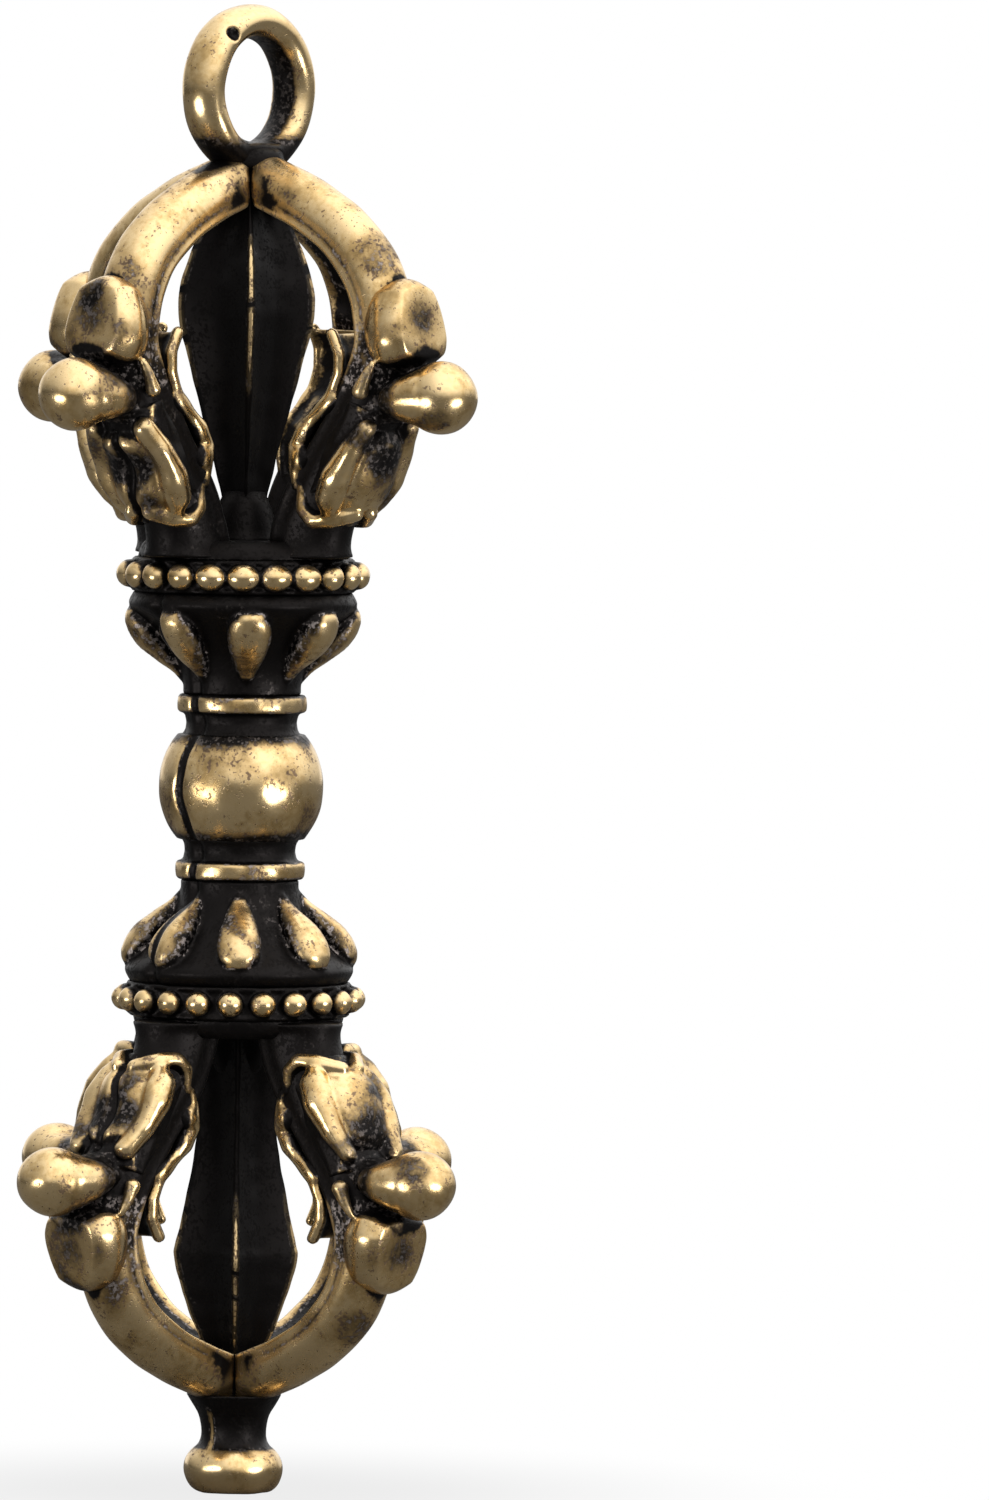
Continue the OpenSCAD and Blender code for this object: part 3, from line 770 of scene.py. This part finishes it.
def makeLotus():
    d, hub = lotusShape, hubShape
    base = hub["lotusAt"]
    wall = raised(roundedLine(d["profile"], d["wallSteps"]), base)
    parts = [turnedPiece("cup", bored(wall, base, hub["beadAt"]))]
    for i in range(d["petals"]):
        a = 2 * math.pi * i / d["petals"]
        for r, h, wide in roundedLine(d["petal"], d["petalSteps"]):
            place = (r * math.cos(a), r * math.sin(a), base + h)
            parts.append(ball(place, (wide * d["thin"], wide, wide * d["tall"]), (0, d["lean"], a), 16))
    lotus = cast(joined("lotus", parts), hub, 2)
    x, y, z = corners(lotus).T
    line = np.array(d["petal"])
    share = math.pi / d["petals"]
    across = np.abs((np.arctan2(y, x) + share) % (2 * share) - share) * np.hypot(x, y)
    wide = np.interp(z - base, line[:, 1], line[:, 2])
    overCup = np.hypot(x, y) - radiusAt(z - base, d["profile"])
    ground = np.maximum(smoothstep(*d["offPetal"], across / wide), smoothstep(*d["overCup"], overCup))
    ends = np.maximum(smoothstep(*d["lowEnd"], z - base), smoothstep(*d["highEnd"], z - base))
    return painted(lotus, np.maximum(ground, ends))


beadShape = {
    "count": 22, "ring": 3.86,
    "upper": (0.44, 0.55, 0.46), "lower": (0.42, 0.44, 0.42),  # half sizes out, along and up
    "uneven": {"upper": (0.1, 7.3), "lower": (0.05, 5.1)},  # share and beat
    "bedLow": [(3.72, 0.0), (3.78, 0.08), (3.66, 0.2)], "bedHigh": [(3.66, -0.2), (3.74, -0.08), (3.66, 0.0)],
    "offBead": (0.8, 1.05), "overBed": (3.95, 3.8),
}


def makeBeadRing(half):
    d, hub = beadShape, hubShape
    low, high = hub["beadAt"], hub["cageAt"]
    bed = raised(d["bedLow"], low) + raised(d["bedHigh"], high)
    parts = [turnedPiece("beadBed", bored(bed, low, high))]
    out, along, up = d[half]
    share, beat = d["uneven"][half]
    for i in range(d["count"]):
        a = 2 * math.pi * (i + 0.5) / d["count"]
        worn = 1 + share * math.sin(beat * i)
        place = (d["ring"] * math.cos(a), d["ring"] * math.sin(a), (low + high) / 2)
        parts.append(ball(place, (out, along * worn, up), (0, 0, a), 20))
    beads = cast(joined("beads", parts), hub, 1)
    x, y, z = corners(beads).T
    step = math.pi / d["count"]
    across = np.abs(np.arctan2(y, x) % (2 * step) - step) * np.hypot(x, y)
    off = np.hypot(across / along, (z - (low + high) / 2) / up)
    onBed = smoothstep(*d["overBed"], np.hypot(x, y))
    return painted(beads, np.maximum(smoothstep(*d["offBead"], off), onBed))


seatShape = {
    "rim": [(3.56, 0.0), (3.5, 0.2), (3.4, 0.45), (3.2, 0.62), (1.7, 0.62)], "well": 0.5, "voxel": 0.1,
}


def makeSeat():
    d = seatShape
    return painted(melted(turnedPiece("seat", bored(d["rim"], 0.0, d["well"])), d["voxel"], 1), 1)


def seamed(piece):
    # The mould's parting line runs down near the -X side as a wavy groove
    d = hubShape["seam"]
    places = corners(piece)
    sway = (d["sway"] * np.sin(places[:, 2] * d["longWave"])
            + d["shortShare"] * d["sway"] * np.sin(places[:, 2] * d["shortWave"] + 1))
    turn = math.radians(d["turn"])
    off = np.abs(places[:, 0] * math.sin(turn) + places[:, 1] * math.cos(turn) - sway) / d["width"]
    groove = np.where(places[:, 0] < d["side"], np.exp(-off ** 2), 0)
    inward = -places * np.array((1, 1, 0))
    inward /= np.linalg.norm(inward, axis=1)[:, None]
    pushed(piece, inward * (groove * d["depth"])[:, None])
    return stained(piece, smoothstep(*d["stain"], groove))


roundBall = tarnished(placed(makeBall(), onUpperHub), **ballShape["tarnish"])
keep(seamed(roundBall), "center_ball", "polished_brass")
for half, home in (("upper", onUpperHub), ("lower", onLowerHub)):
    for maker, node in ((makeCollar, "collar"), (makeLotus, "lotus")):
        piece = tarnished(placed(maker(), home), **hubShape["tarnish"])
        piece.name = half + node.capitalize()
        keep(seamed(piece), f"{half}_{node}", "antique_brass")
    beads = makeBeadRing(half)
    beads.name = half + "BeadRing"
    keep(placed(beads, home), f"{half}_bead_ring", "polished_brass")
for cage, home in (("upper", onUpperCage), ("lower", onLowerCage)):
    seat = makeSeat()
    seat.name = cage + "Seat"
    keep(placed(seat, home), f"{cage}_seat", "blackened_brass")
    makeBlade(cage, home)
print("made the hub, seats and blades")


# Crown, loop and bottom knob

crownShape = {  # (radius, height) from the top of the cap
    "profile": [(0.0, -0.75), (1.05, -0.75), (1.2, -0.6), (1.22, -0.35), (1.15, -0.15), (0.95, 0.0),
                (0.0, 0.02)],
    "voxel": 0.07, "skin": 0.06, "grain": 1.4,
}


def makeCrown():
    d = crownShape
    return painted(cast(turnedPiece("crownCap", raised(d["profile"], crownTop), 64), d, 3), 1)


loopShape = {
    "hole": 1.72, "wire": 1.16, "depth": 1.62, "cuts": 96, "sides": 28,
    "voxel": 0.075, "skin": 0.05, "grain": 0.9,
    "foot": (1.45, 0.9, 0.25), "footSink": 0.05, "footRound": 0.6,
    "pit": (-1.62, -0.66, 1.88), "pitWay": (0.5, 0.7, -0.5), "pitDepth": 0.3, "pitReach": 0.34,
    "pitStain": (0.95, 0.6), "lining": (0.26, 0.02), "liningRubbed": 0.12, "footStain": (0.6, -0.3),
}


def makeLoop():
    d = loopShape
    middle = d["hole"] + d["wire"] / 2
    level = loopTop - d["wire"] - d["hole"]
    dropSelection()
    bpy.ops.mesh.primitive_torus_add(
        major_segments=d["cuts"], minor_segments=d["sides"], major_radius=middle, minor_radius=d["wire"] / 2,
        location=(0, 0, level), rotation=(math.pi / 2, 0, 0))
    ring = bpy.context.object
    ring.scale = (1, 1, d["depth"] / d["wire"])
    foot = pillow((0, 0, crownTop - d["footSink"]), d["foot"], (0, 0, 0), d["footRound"])
    loop = cast(joined("hangingLoop", [ring, foot]), d, 3)
    x, y, z = d["pit"]
    pit = (x, y, level + z)
    offPit = np.linalg.norm(corners(loop) - np.array(pit), axis=1) / d["pitReach"]
    dented(loop, pit, d["pitWay"], d["pitDepth"], d["pitReach"])
    x, y, z = corners(loop).T
    lining = fade(d["hole"], d["lining"], np.hypot(x, z - level)) - d["liningRubbed"]
    foot = fade(level - d["hole"], d["footStain"], z)
    return painted(loop, np.max([lining, smoothstep(*d["pitStain"], offPit), foot], 0))


knobShape = {
    "profile": [(0.0, 0.0), (1.05, 0.0), (1.3, 0.06), (1.5, 0.25), (1.63, 0.55), (1.66, 0.85), (1.58, 1.15),
                (1.4, 1.4), (1.2, 1.58), (1.1, 1.85), (1.1, 2.2), (1.2, 2.6), (1.4, 2.95), (1.62, 3.35)],
    "steps": 60, "voxel": 0.07, "skin": 0.03, "grain": 1.3,
    "waist": (1.3, 1.6), "streakWide": 0.09, "streakTop": (3.0, 2.6), "streakBright": 1.8,
}


def makeKnob():
    d = knobShape
    wall = roundedLine(d["profile"], d["steps"])
    piece = cast(turnedPiece("finialKnob", [*wall, (0.0, wall[-1][1])], 80), d, 1)
    x, y, z = corners(piece).T
    pushed(piece, np.stack([0 * x, 0 * y, np.maximum(-z, 0)], 1))  # the flat stays flat
    waist = smoothstep(*d["waist"], z)
    streak = np.where(x < 0, np.exp(-(y / d["streakWide"]) ** 2), 0) * waist * smoothstep(*d["streakTop"], z)
    return painted(piece, waist - d["streakBright"] * streak)


keep(makeCrown(), "crown_cap", "blackened_brass")
keep(makeLoop(), "hanging_loop", "polished_brass")
keep(makeKnob(), "finial_knob", "polished_brass")
print("made the crown, loop and knob")


# Patina: how sheltered and how hollow each place of the skin is

patinaGrid = {
    "pitch": 0.125, "margin": 3.0, "rays": 32, "lift": 0.2, "reach": 6.0, "growth": 1.3,
    "smallReach": 0.8, "broadReach": 2.4, "deepest": 9, "graze": 0.05, "boxy": 0.37,
    "nudge": (0.0137, 0.0271, 0.0),  # keeps the grid's columns off the corners of the meshes
}


def triangles(piece):
    piece.data.calc_loop_triangles()
    faces = np.empty(len(piece.data.loop_triangles) * 3, np.int32)
    piece.data.loop_triangles.foreach_get("vertices", faces)
    return corners(piece)[faces.reshape(-1, 3)]


def filledGrid(solids, low, shape, pitch):
    # Counts, column by column, how many closed skins each cell lies inside
    steps = np.zeros(shape, np.int16)
    for piece in solids:
        tri = (triangles(piece) - low) / pitch + np.array(patinaGrid["nudge"])
        a, b, c = tri[:, 0], tri[:, 1], tri[:, 2]
        area = (b[:, 0] - a[:, 0]) * (c[:, 1] - a[:, 1]) - (b[:, 1] - a[:, 1]) * (c[:, 0] - a[:, 0])
        first = np.ceil(tri[:, :, :2].min(1)).astype(int)
        last = np.floor(tri[:, :, :2].max(1)).astype(int)
        spans = last - first + 1
        usable = (spans > 0).all(1) & (np.abs(area) > 1e-12)
        tri, area, first, spans = tri[usable], area[usable], first[usable], spans[usable]
        if not len(tri):
            continue
        for i in range(spans[:, 0].max()):
            for j in range(spans[:, 1].max()):
                here = (spans[:, 0] > i) & (spans[:, 1] > j)
                t, n, spot = tri[here], area[here], first[here] + (i, j)
                edges = []
                for k in range(3):
                    p, q = t[:, k], t[:, (k + 1) % 3]
                    edges.append(((q[:, 0] - p[:, 0]) * (spot[:, 1] - p[:, 1])
                                  - (q[:, 1] - p[:, 1]) * (spot[:, 0] - p[:, 0])) / n)
                inside = (np.array(edges) >= 0).all(0)
                z = edges[1] * t[:, 0, 2] + edges[2] * t[:, 1, 2] + edges[0] * t[:, 2, 2]
                level = np.clip(np.ceil(z[inside]).astype(int), 0, shape[2] - 1)
                np.add.at(steps, (spot[inside, 0], spot[inside, 1], level), np.where(n[inside] < 0, 1, -1))
    return np.cumsum(steps, axis=2) > 0


def blurred(field, cells):
    for axis in range(3):
        rims = [(cells + 1, cells) if k == axis else (0, 0) for k in range(3)]
        total = np.cumsum(np.pad(field, rims, "edge"), axis=axis, dtype=np.float32)
        size = field.shape[axis]
        field = (np.take(total, range(2 * cells + 1, 2 * cells + 1 + size), axis)
                 - np.take(total, range(0, size), axis)) / (2 * cells + 1)
    return field


def spread(field, boxy):
    # One cell further in every way: along the axes, or over the corners too
    wider = field.copy()
    for axis in range(3):
        source = wider.copy() if boxy else field
        ahead = [slice(None)] * 3
        behind = [slice(None)] * 3
        ahead[axis], behind[axis] = slice(1, None), slice(None, -1)
        wider[tuple(ahead)] |= source[tuple(behind)]
        wider[tuple(behind)] |= source[tuple(ahead)]
    return wider


def boxySteps(count):
    # Mixing both kinds of step keeps the growth nearly round
    share = patinaGrid["boxy"]
    return [int((k + 1) * share) > int(k * share) for k in range(count)]


def hollowDepth(solid, reach, deepest):
    # How far a place lies under the skin that a pad of a given radius can still touch
    cells = int(round(reach))
    closed = solid
    for boxy in boxySteps(cells):
        closed = spread(closed, boxy)
    empty = ~closed
    for boxy in boxySteps(cells):
        empty = spread(empty, boxy)
    depth = np.zeros(solid.shape, np.float32)
    for boxy in boxySteps(deepest):
        depth += ~empty
        empty = spread(empty, boxy)
    return depth


def sampled(field, spots):
    base = np.clip(np.floor(spots).astype(int), 0, np.array(field.shape) - 2)
    part = spots - base
    value = 0
    for corner in range(8):
        step = np.array([(corner >> k) & 1 for k in range(3)])
        weight = np.prod(np.where(step, part, 1 - part), axis=1)
        at = base + step
        value = value + weight * field[at[:, 0], at[:, 1], at[:, 2]]
    return value


def agePieces(made):
    d = patinaGrid
    pitch = d["pitch"]
    every = [corners(piece) for piece in made]
    low = np.min([p.min(0) for p in every], 0) - d["margin"]
    high = np.max([p.max(0) for p in every], 0) + d["margin"]
    shape = tuple(np.ceil((high - low) / pitch).astype(int) + 2)
    solid = filledGrid(made, low, shape, pitch)
    places = np.concatenate(every)
    ways = np.concatenate([normals(piece) for piece in made])
    spots = (places - low) / pitch
    fineHollow = sampled(blurred(blurred(solid.astype(np.float32), 1), 1), spots)
    smallDepth, broadDepth = (
        sampled(blurred(hollowDepth(solid, d[key] / pitch, d["deepest"]), 1), spots) * pitch
        for key in ("smallReach", "broadReach"))
    sky = np.zeros(len(places), np.float32)
    most = np.zeros(len(places), np.float32)
    for k in range(d["rays"]):
        z = 1 - (2 * k + 1) / d["rays"]
        turn = k * math.pi * (3 - math.sqrt(5))
        ray = np.array((math.cos(turn) * math.sqrt(1 - z * z), math.sin(turn) * math.sqrt(1 - z * z), z))
        lean = ways @ ray
        out = np.flatnonzero(lean > d["graze"])
        start = places[out] + ways[out] * d["lift"]
        free = np.ones(len(out), bool)
        far = d["lift"]
        while far < d["reach"]:
            cell = np.rint((start + ray * far - low) / pitch).astype(int)
            within = ((cell >= 0) & (cell < shape)).all(1)
            cell = np.clip(cell, 0, np.array(shape) - 1)
            free &= ~(solid[cell[:, 0], cell[:, 1], cell[:, 2]] & within)
            far = max(far * d["growth"], far + pitch)
        sky[out] += lean[out] * free
        most[out] += lean[out]
    shelter = 1 - sky / np.maximum(most, 1e-6)
    start = 0
    for piece, points in zip(made, every):
        stop = start + len(points)
        for name, values in (("shelter", shelter), ("fineHollow", fineHollow),
                             ("smallDepth", smallDepth), ("broadDepth", broadDepth)):
            mark = piece.data.attributes.new(name, "FLOAT", "POINT")
            mark.data.foreach_set("value", values[start:stop].astype(np.float32))
        start = stop
    print("aged", len(places), "points of skin")


agePieces([piece for piece, node, slot in pieces])


# Finishes


def feed(tree, value, target):
    if isinstance(value, Wire):
        tree.links.new(value.socket, target)
    else:
        target.default_value = value


class Wire:
    # A node's output, so that sums and products of outputs read as plain arithmetic
    def __init__(self, tree, socket):
        self.tree = tree
        self.socket = socket

    def maths(self, operation, first, second):
        node = self.tree.nodes.new("ShaderNodeMath")
        node.operation = operation
        feed(self.tree, first, node.inputs[0])
        feed(self.tree, second, node.inputs[1])
        return Wire(self.tree, node.outputs[0])

    def __add__(self, other):
        return self.maths("ADD", self, other)

    def __radd__(self, other):
        return self.maths("ADD", other, self)

    def __sub__(self, other):
        return self.maths("SUBTRACT", self, other)

    def __rsub__(self, other):
        return self.maths("SUBTRACT", other, self)

    def __mul__(self, other):
        return self.maths("MULTIPLY", self, other)

    def __rmul__(self, other):
        return self.maths("MULTIPLY", other, self)

    def most(self, other):
        return self.maths("MAXIMUM", self, other)


class Finish:
    # The nodes of a material or of the room, started empty
    def __init__(self, owner):
        owner.use_nodes = True
        self.tree = owner.node_tree
        self.tree.nodes.clear()

    def add(self, kind, settings, sockets, output=0):
        node = self.tree.nodes.new("ShaderNode" + kind)
        for key, value in settings.items():
            if key == "stops":
                ramp = node.color_ramp
                while len(ramp.elements) < len(value):
                    ramp.elements.new(1)
                for stop, (place, grey) in zip(ramp.elements, value):
                    stop.position = place
                    stop.color = (grey, grey, grey, 1)
            else:
                setattr(node, key, value)
        for key, value in sockets.items():
            feed(self.tree, value, node.inputs[key])
        return Wire(self.tree, node.outputs[output]) if len(node.outputs) else None

    def step(self, value, low, high):
        return self.add("MapRange", {"interpolation_type": "SMOOTHSTEP", "clamp": True},
                        {"Value": value, "From Min": low, "From Max": high, "To Min": 0.0, "To Max": 1.0})

    def mix(self, share, first, second):
        return self.add("Mix", {"data_type": "RGBA", "clamp_factor": True},
                        {0: share, 6: first, 7: second}, 2)

    def mark(self, name):
        return self.add("Attribute", {"attribute_name": name, "attribute_type": "GEOMETRY"}, {}, 2)

    def grain(self, place, size, detail, rough=0.55):
        # Noise whose lumps are about size millimetres across
        return self.add("TexNoise", {"noise_dimensions": "3D"},
                        {"Vector": place, "Scale": 1 / (size * mm), "Detail": detail, "Roughness": rough})


brassLook = {
    "pale": (0.93, 0.69, 0.365, 1), "gold": (0.75, 0.515, 0.225, 1), "umber": (0.38, 0.24, 0.09, 1),
    "plum": (0.16, 0.105, 0.085, 1), "sootAndShade": (0.0105, 0.0088, 0.0084, 1), "frost": (0.42, 0.365, 0.34, 1),
}
agedFinishes = {
    "antique_brass": {"sootAndShade": 0.0, "shine": 0.24, "wear": 0.8, "frost": 0.8},
    "polished_brass": {"sootAndShade": 0.02, "shine": 0.21, "wear": 0.8, "frost": 0.3},
    "blackened_brass": {"sootAndShade": -0.3, "shine": 0.3, "wear": 0.1, "frost": 0.15},
}
patinaLook = {
    "cloud": {"size": 1.6, "detail": 4.0}, "blot": {"size": 0.5, "detail": 3.0},
    "speck": {"size": 0.2, "detail": 4.0, "rough": 0.65}, "pit": {"size": 0.12, "detail": 2.0},
    # Ranges over which each mark fades in
    "deepSoot": (0.34, 0.5), "paintedSootAndShade": (0.32, 0.72), "keptBright": (0.1, 0.5),
    "deepFringe": (0.14, 0.36), "paintedFringe": (0.0, 0.55),
    "rubbed": (0.0, 0.13), "neverRubbed": (0.72, 0.95), "edge": 0.43,
    "pits": (0.585, 0.64), "mottle": (0.47, 0.66), "golder": (0.35, 0.7),
    "frostFrom": (0.46, 0.62), "frostTo": (0.82, 1.0), "frostSpeck": (0.5, 0.62),
    "bump": 0.22, "bumpHeight": 0.03,
}


def agedBrass(name, d):
    material = bpy.data.materials.new(name)
    f, p = Finish(material), patinaLook
    place = f.add("TexCoord", {}, {}, 3)
    shelter, fineHollow, grime, smallDepth, broadDepth = (
        f.mark(key) for key in ("shelter", "fineHollow", "grime", "smallDepth", "broadDepth"))
    cloud, blot, speck, pit = (f.grain(place, **p[key]) for key in ("cloud", "blot", "speck", "pit"))

    # Soot stays where nothing rubs: in the hollows and wherever it was painted, and the painted marks take in
    # painted shade under the prongs' tops
    ragged = (cloud - 0.5) * 0.24 + (blot - 0.5) * 0.2 + (speck - 0.5) * 0.25
    deep = smallDepth * 1.1 + broadDepth * 0.6 + shelter * 0.3 + ragged - d["sootAndShade"]
    rubbed = f.step(p["edge"] - fineHollow + (blot - 0.5) * 0.1, *p["rubbed"])
    rubbed = rubbed * (1 - f.step(grime, *p["neverRubbed"]))
    sootAndShade = f.step(deep, *p["deepSoot"]).most(f.step(grime + ragged * 1.5, *p["paintedSootAndShade"]))
    sootAndShade = sootAndShade * (1 - rubbed * d["wear"]) * (1 - f.step(0 - grime, *p["keptBright"]))
    fringe = f.step(deep, *p["deepFringe"]).most(f.step(grime + ragged * 0.5, *p["paintedFringe"]))
    pits = f.step(pit * 0.6 + blot * 0.4 + fringe * 0.07, *p["pits"])
    mottle = f.step(cloud * 0.55 + blot * 0.3 + speck * 0.15 + fringe * 0.12, *p["mottle"])

    gold = f.mix(f.step(cloud + (speck - 0.5) * 0.4, *p["golder"]), brassLook["pale"], brassLook["gold"])
    gold = f.mix((mottle * 0.5).most(fringe * 0.65), gold, brassLook["umber"])
    gold = f.mix(rubbed * 0.8, gold, brassLook["pale"])
    gold = f.mix(pits * 0.75, gold, brassLook["plum"])
    colour = f.mix(sootAndShade, gold, brassLook["sootAndShade"])

    # Grey specks are scattered where the painted marks are at half strength
    rim = f.step(grime + ragged, *p["frostFrom"]) * (1 - f.step(grime + ragged, *p["frostTo"]))
    frost = rim * f.step(speck + (pit - 0.5) * 0.4, *p["frostSpeck"])
    colour = f.mix(frost * d["frost"], colour, brassLook["frost"])

    roughness = d["shine"] + (speck - 0.5) * 0.08 + fringe * 0.1 + pits * 0.2 + sootAndShade * 0.08
    height = speck * 0.35 + blot * 0.7 - pits * 0.5
    bump = f.add("Bump", {}, {"Strength": p["bump"], "Distance": p["bumpHeight"] * mm, "Height": height})
    shader = f.add("BsdfPrincipled", {}, {
        "Base Color": colour, "Metallic": 1 - sootAndShade * 0.12, "Roughness": roughness, "Normal": bump})
    f.add("OutputMaterial", {}, {"Surface": shader})
    return material


finishes = {name: agedBrass(name, d) for name, d in agedFinishes.items()}
for piece, node, slot in pieces:
    pick(piece)
    piece.data.transform(Matrix.Scale(mm, 4))
    bpy.ops.object.shade_smooth()
    piece.data.materials.clear()
    piece.data.materials.append(finishes[slot])
    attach(piece, "root")
    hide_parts(node)
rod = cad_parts["core_rod"]
rod.data.materials.clear()
rod.data.materials.append(finishes["antique_brass"])
print("finished", len(pieces), "pieces")


# Stage, lights and camera: lengths in metres, but for the lens, the sensor and the aim

stageLook = {
    "floor": 3.0, "floorColour": (0.13, 0.13, 0.13, 1), "white": 0.82, "fade": (0.003, 0.022),
    # The room's greys from below to above, from left to right and from front to back
    "above": [(0.0, 0.06), (0.5, 0.12), (0.58, 0.66), (0.7, 1.2), (1.0, 1.45)],
    "across": [(0.05, 0.36), (0.28, 0.7), (0.42, 1), (0.66, 1.15), (0.8, 1.3), (0.95, 1.1)],
    "behind": [(0.82, 0), (0.94, 1)],
}
lampSetup = {
    "turns": {"leftLamp": -51, "rightLamp": 52},  # degrees round the object from the camera
    "height": 0.014, "distance": 0.09, "size": (0.05, 0.03), "power": 0.02,
}
cameraSetup = {
    "azimuth": -49, "elevation": 2.5, "roll": 0.7, "distance": 0.55, "lens": 393, "sensor": 36, "clip": 0.01,
    "aimRight": 8.5, "aimHeight": 25.07,
}


def makeFloor():
    d = stageLook
    dropSelection()
    bpy.ops.mesh.primitive_plane_add(size=d["floor"])
    floor = bpy.context.object
    floor.name = "floor"
    material = bpy.data.materials.new("paleFloor")
    f = Finish(material)
    place = f.add("TexCoord", {}, {}, 3)
    far = f.add("VectorMath", {"operation": "LENGTH"}, {0: place}, 1)
    white = f.add("Emission", {}, {"Color": (1, 1, 1, 1), "Strength": 1.0})
    card = f.add("BsdfDiffuse", {}, {"Color": d["floorColour"]})
    share = d["white"] + (1 - d["white"]) * f.step(far, *d["fade"])
    seen = f.add("LightPath", {}, {}, 0)
    f.add("OutputMaterial", {}, {"Surface": f.add("MixShader", {}, {0: seen * share, 1: card, 2: white})})
    floor.data.materials.append(material)


def towardsCamera(azimuth, elevation):
    a, e = math.radians(azimuth), math.radians(elevation)
    return Vector((math.sin(a) * math.cos(e), -math.cos(a) * math.cos(e), math.sin(e)))


def makeRoom():
    world = bpy.data.worlds.new("studio")
    bpy.context.scene.world = world
    f = Finish(world)
    way = f.add("TexCoord", {}, {}, 0)
    back = -towardsCamera(cameraSetup["azimuth"], 0)
    right = Vector((0, 0, 1)).cross(-back)
    lean = f.add("VectorMath", {"operation": "DOT_PRODUCT"}, {0: way, 1: back}, 1)
    side = f.add("VectorMath", {"operation": "DOT_PRODUCT"}, {0: way, 1: right}, 1)
    height = f.add("SeparateXYZ", {}, {0: way}, 2)
    above, across, behind = (f.add("ValToRGB", {"stops": stageLook[key]}, {"Fac": value * 0.5 + 0.5})
                             for key, value in (("above", height), ("across", side), ("behind", lean)))
    grey = (above * across).most(behind)
    seen = f.add("LightPath", {}, {}, 0)
    room = f.add("Background", {}, {"Color": grey, "Strength": 1.0})
    white = f.add("Background", {}, {"Color": (1, 1, 1, 1), "Strength": 1.0})
    f.add("OutputWorld", {}, {"Surface": f.add("MixShader", {}, {0: seen, 1: room, 2: white})})


def makeLamp(name, turn):
    d = lampSetup
    aim = Vector((0, 0, cameraSetup["aimHeight"] * mm))
    place = towardsCamera(cameraSetup["azimuth"] + turn, 0) * d["distance"] + Vector((0, 0, d["height"]))
    dropSelection()
    bpy.ops.object.light_add(type="AREA", location=place)
    lamp = bpy.context.object
    lamp.name = name
    lamp.data.shape = "ELLIPSE"
    lamp.data.size, lamp.data.size_y = d["size"]
    lamp.data.energy = d["power"]
    lamp.rotation_euler = (place - aim).to_track_quat("Z", "Y").to_euler()
    lamp.visible_camera = False


def makeCamera():
    d = cameraSetup
    aim = Vector((0, 0, d["aimHeight"] * mm))
    back = towardsCamera(d["azimuth"], d["elevation"])
    right = Vector((0, 0, 1)).cross(back).normalized()
    place = aim + back * d["distance"]
    look = (aim + right * d["aimRight"] * mm - place).normalized()
    right = look.cross(Vector((0, 0, 1))).normalized()
    up = right.cross(look)
    turn = Matrix((right, up, -look)).transposed() @ Matrix.Rotation(math.radians(d["roll"]), 3, "Z")
    dropSelection()
    bpy.ops.object.camera_add(location=place)
    camera = bpy.context.object
    camera.rotation_euler = turn.to_euler()
    camera.data.lens = d["lens"]
    camera.data.sensor_width = d["sensor"]
    camera.data.clip_start = d["clip"]
    bpy.context.scene.camera = camera


makeFloor()
makeRoom()
for lampName, turn in lampSetup["turns"].items():
    makeLamp(lampName, turn)
makeCamera()
bpy.context.scene.view_settings.view_transform = "Standard"
print("lit the stage")
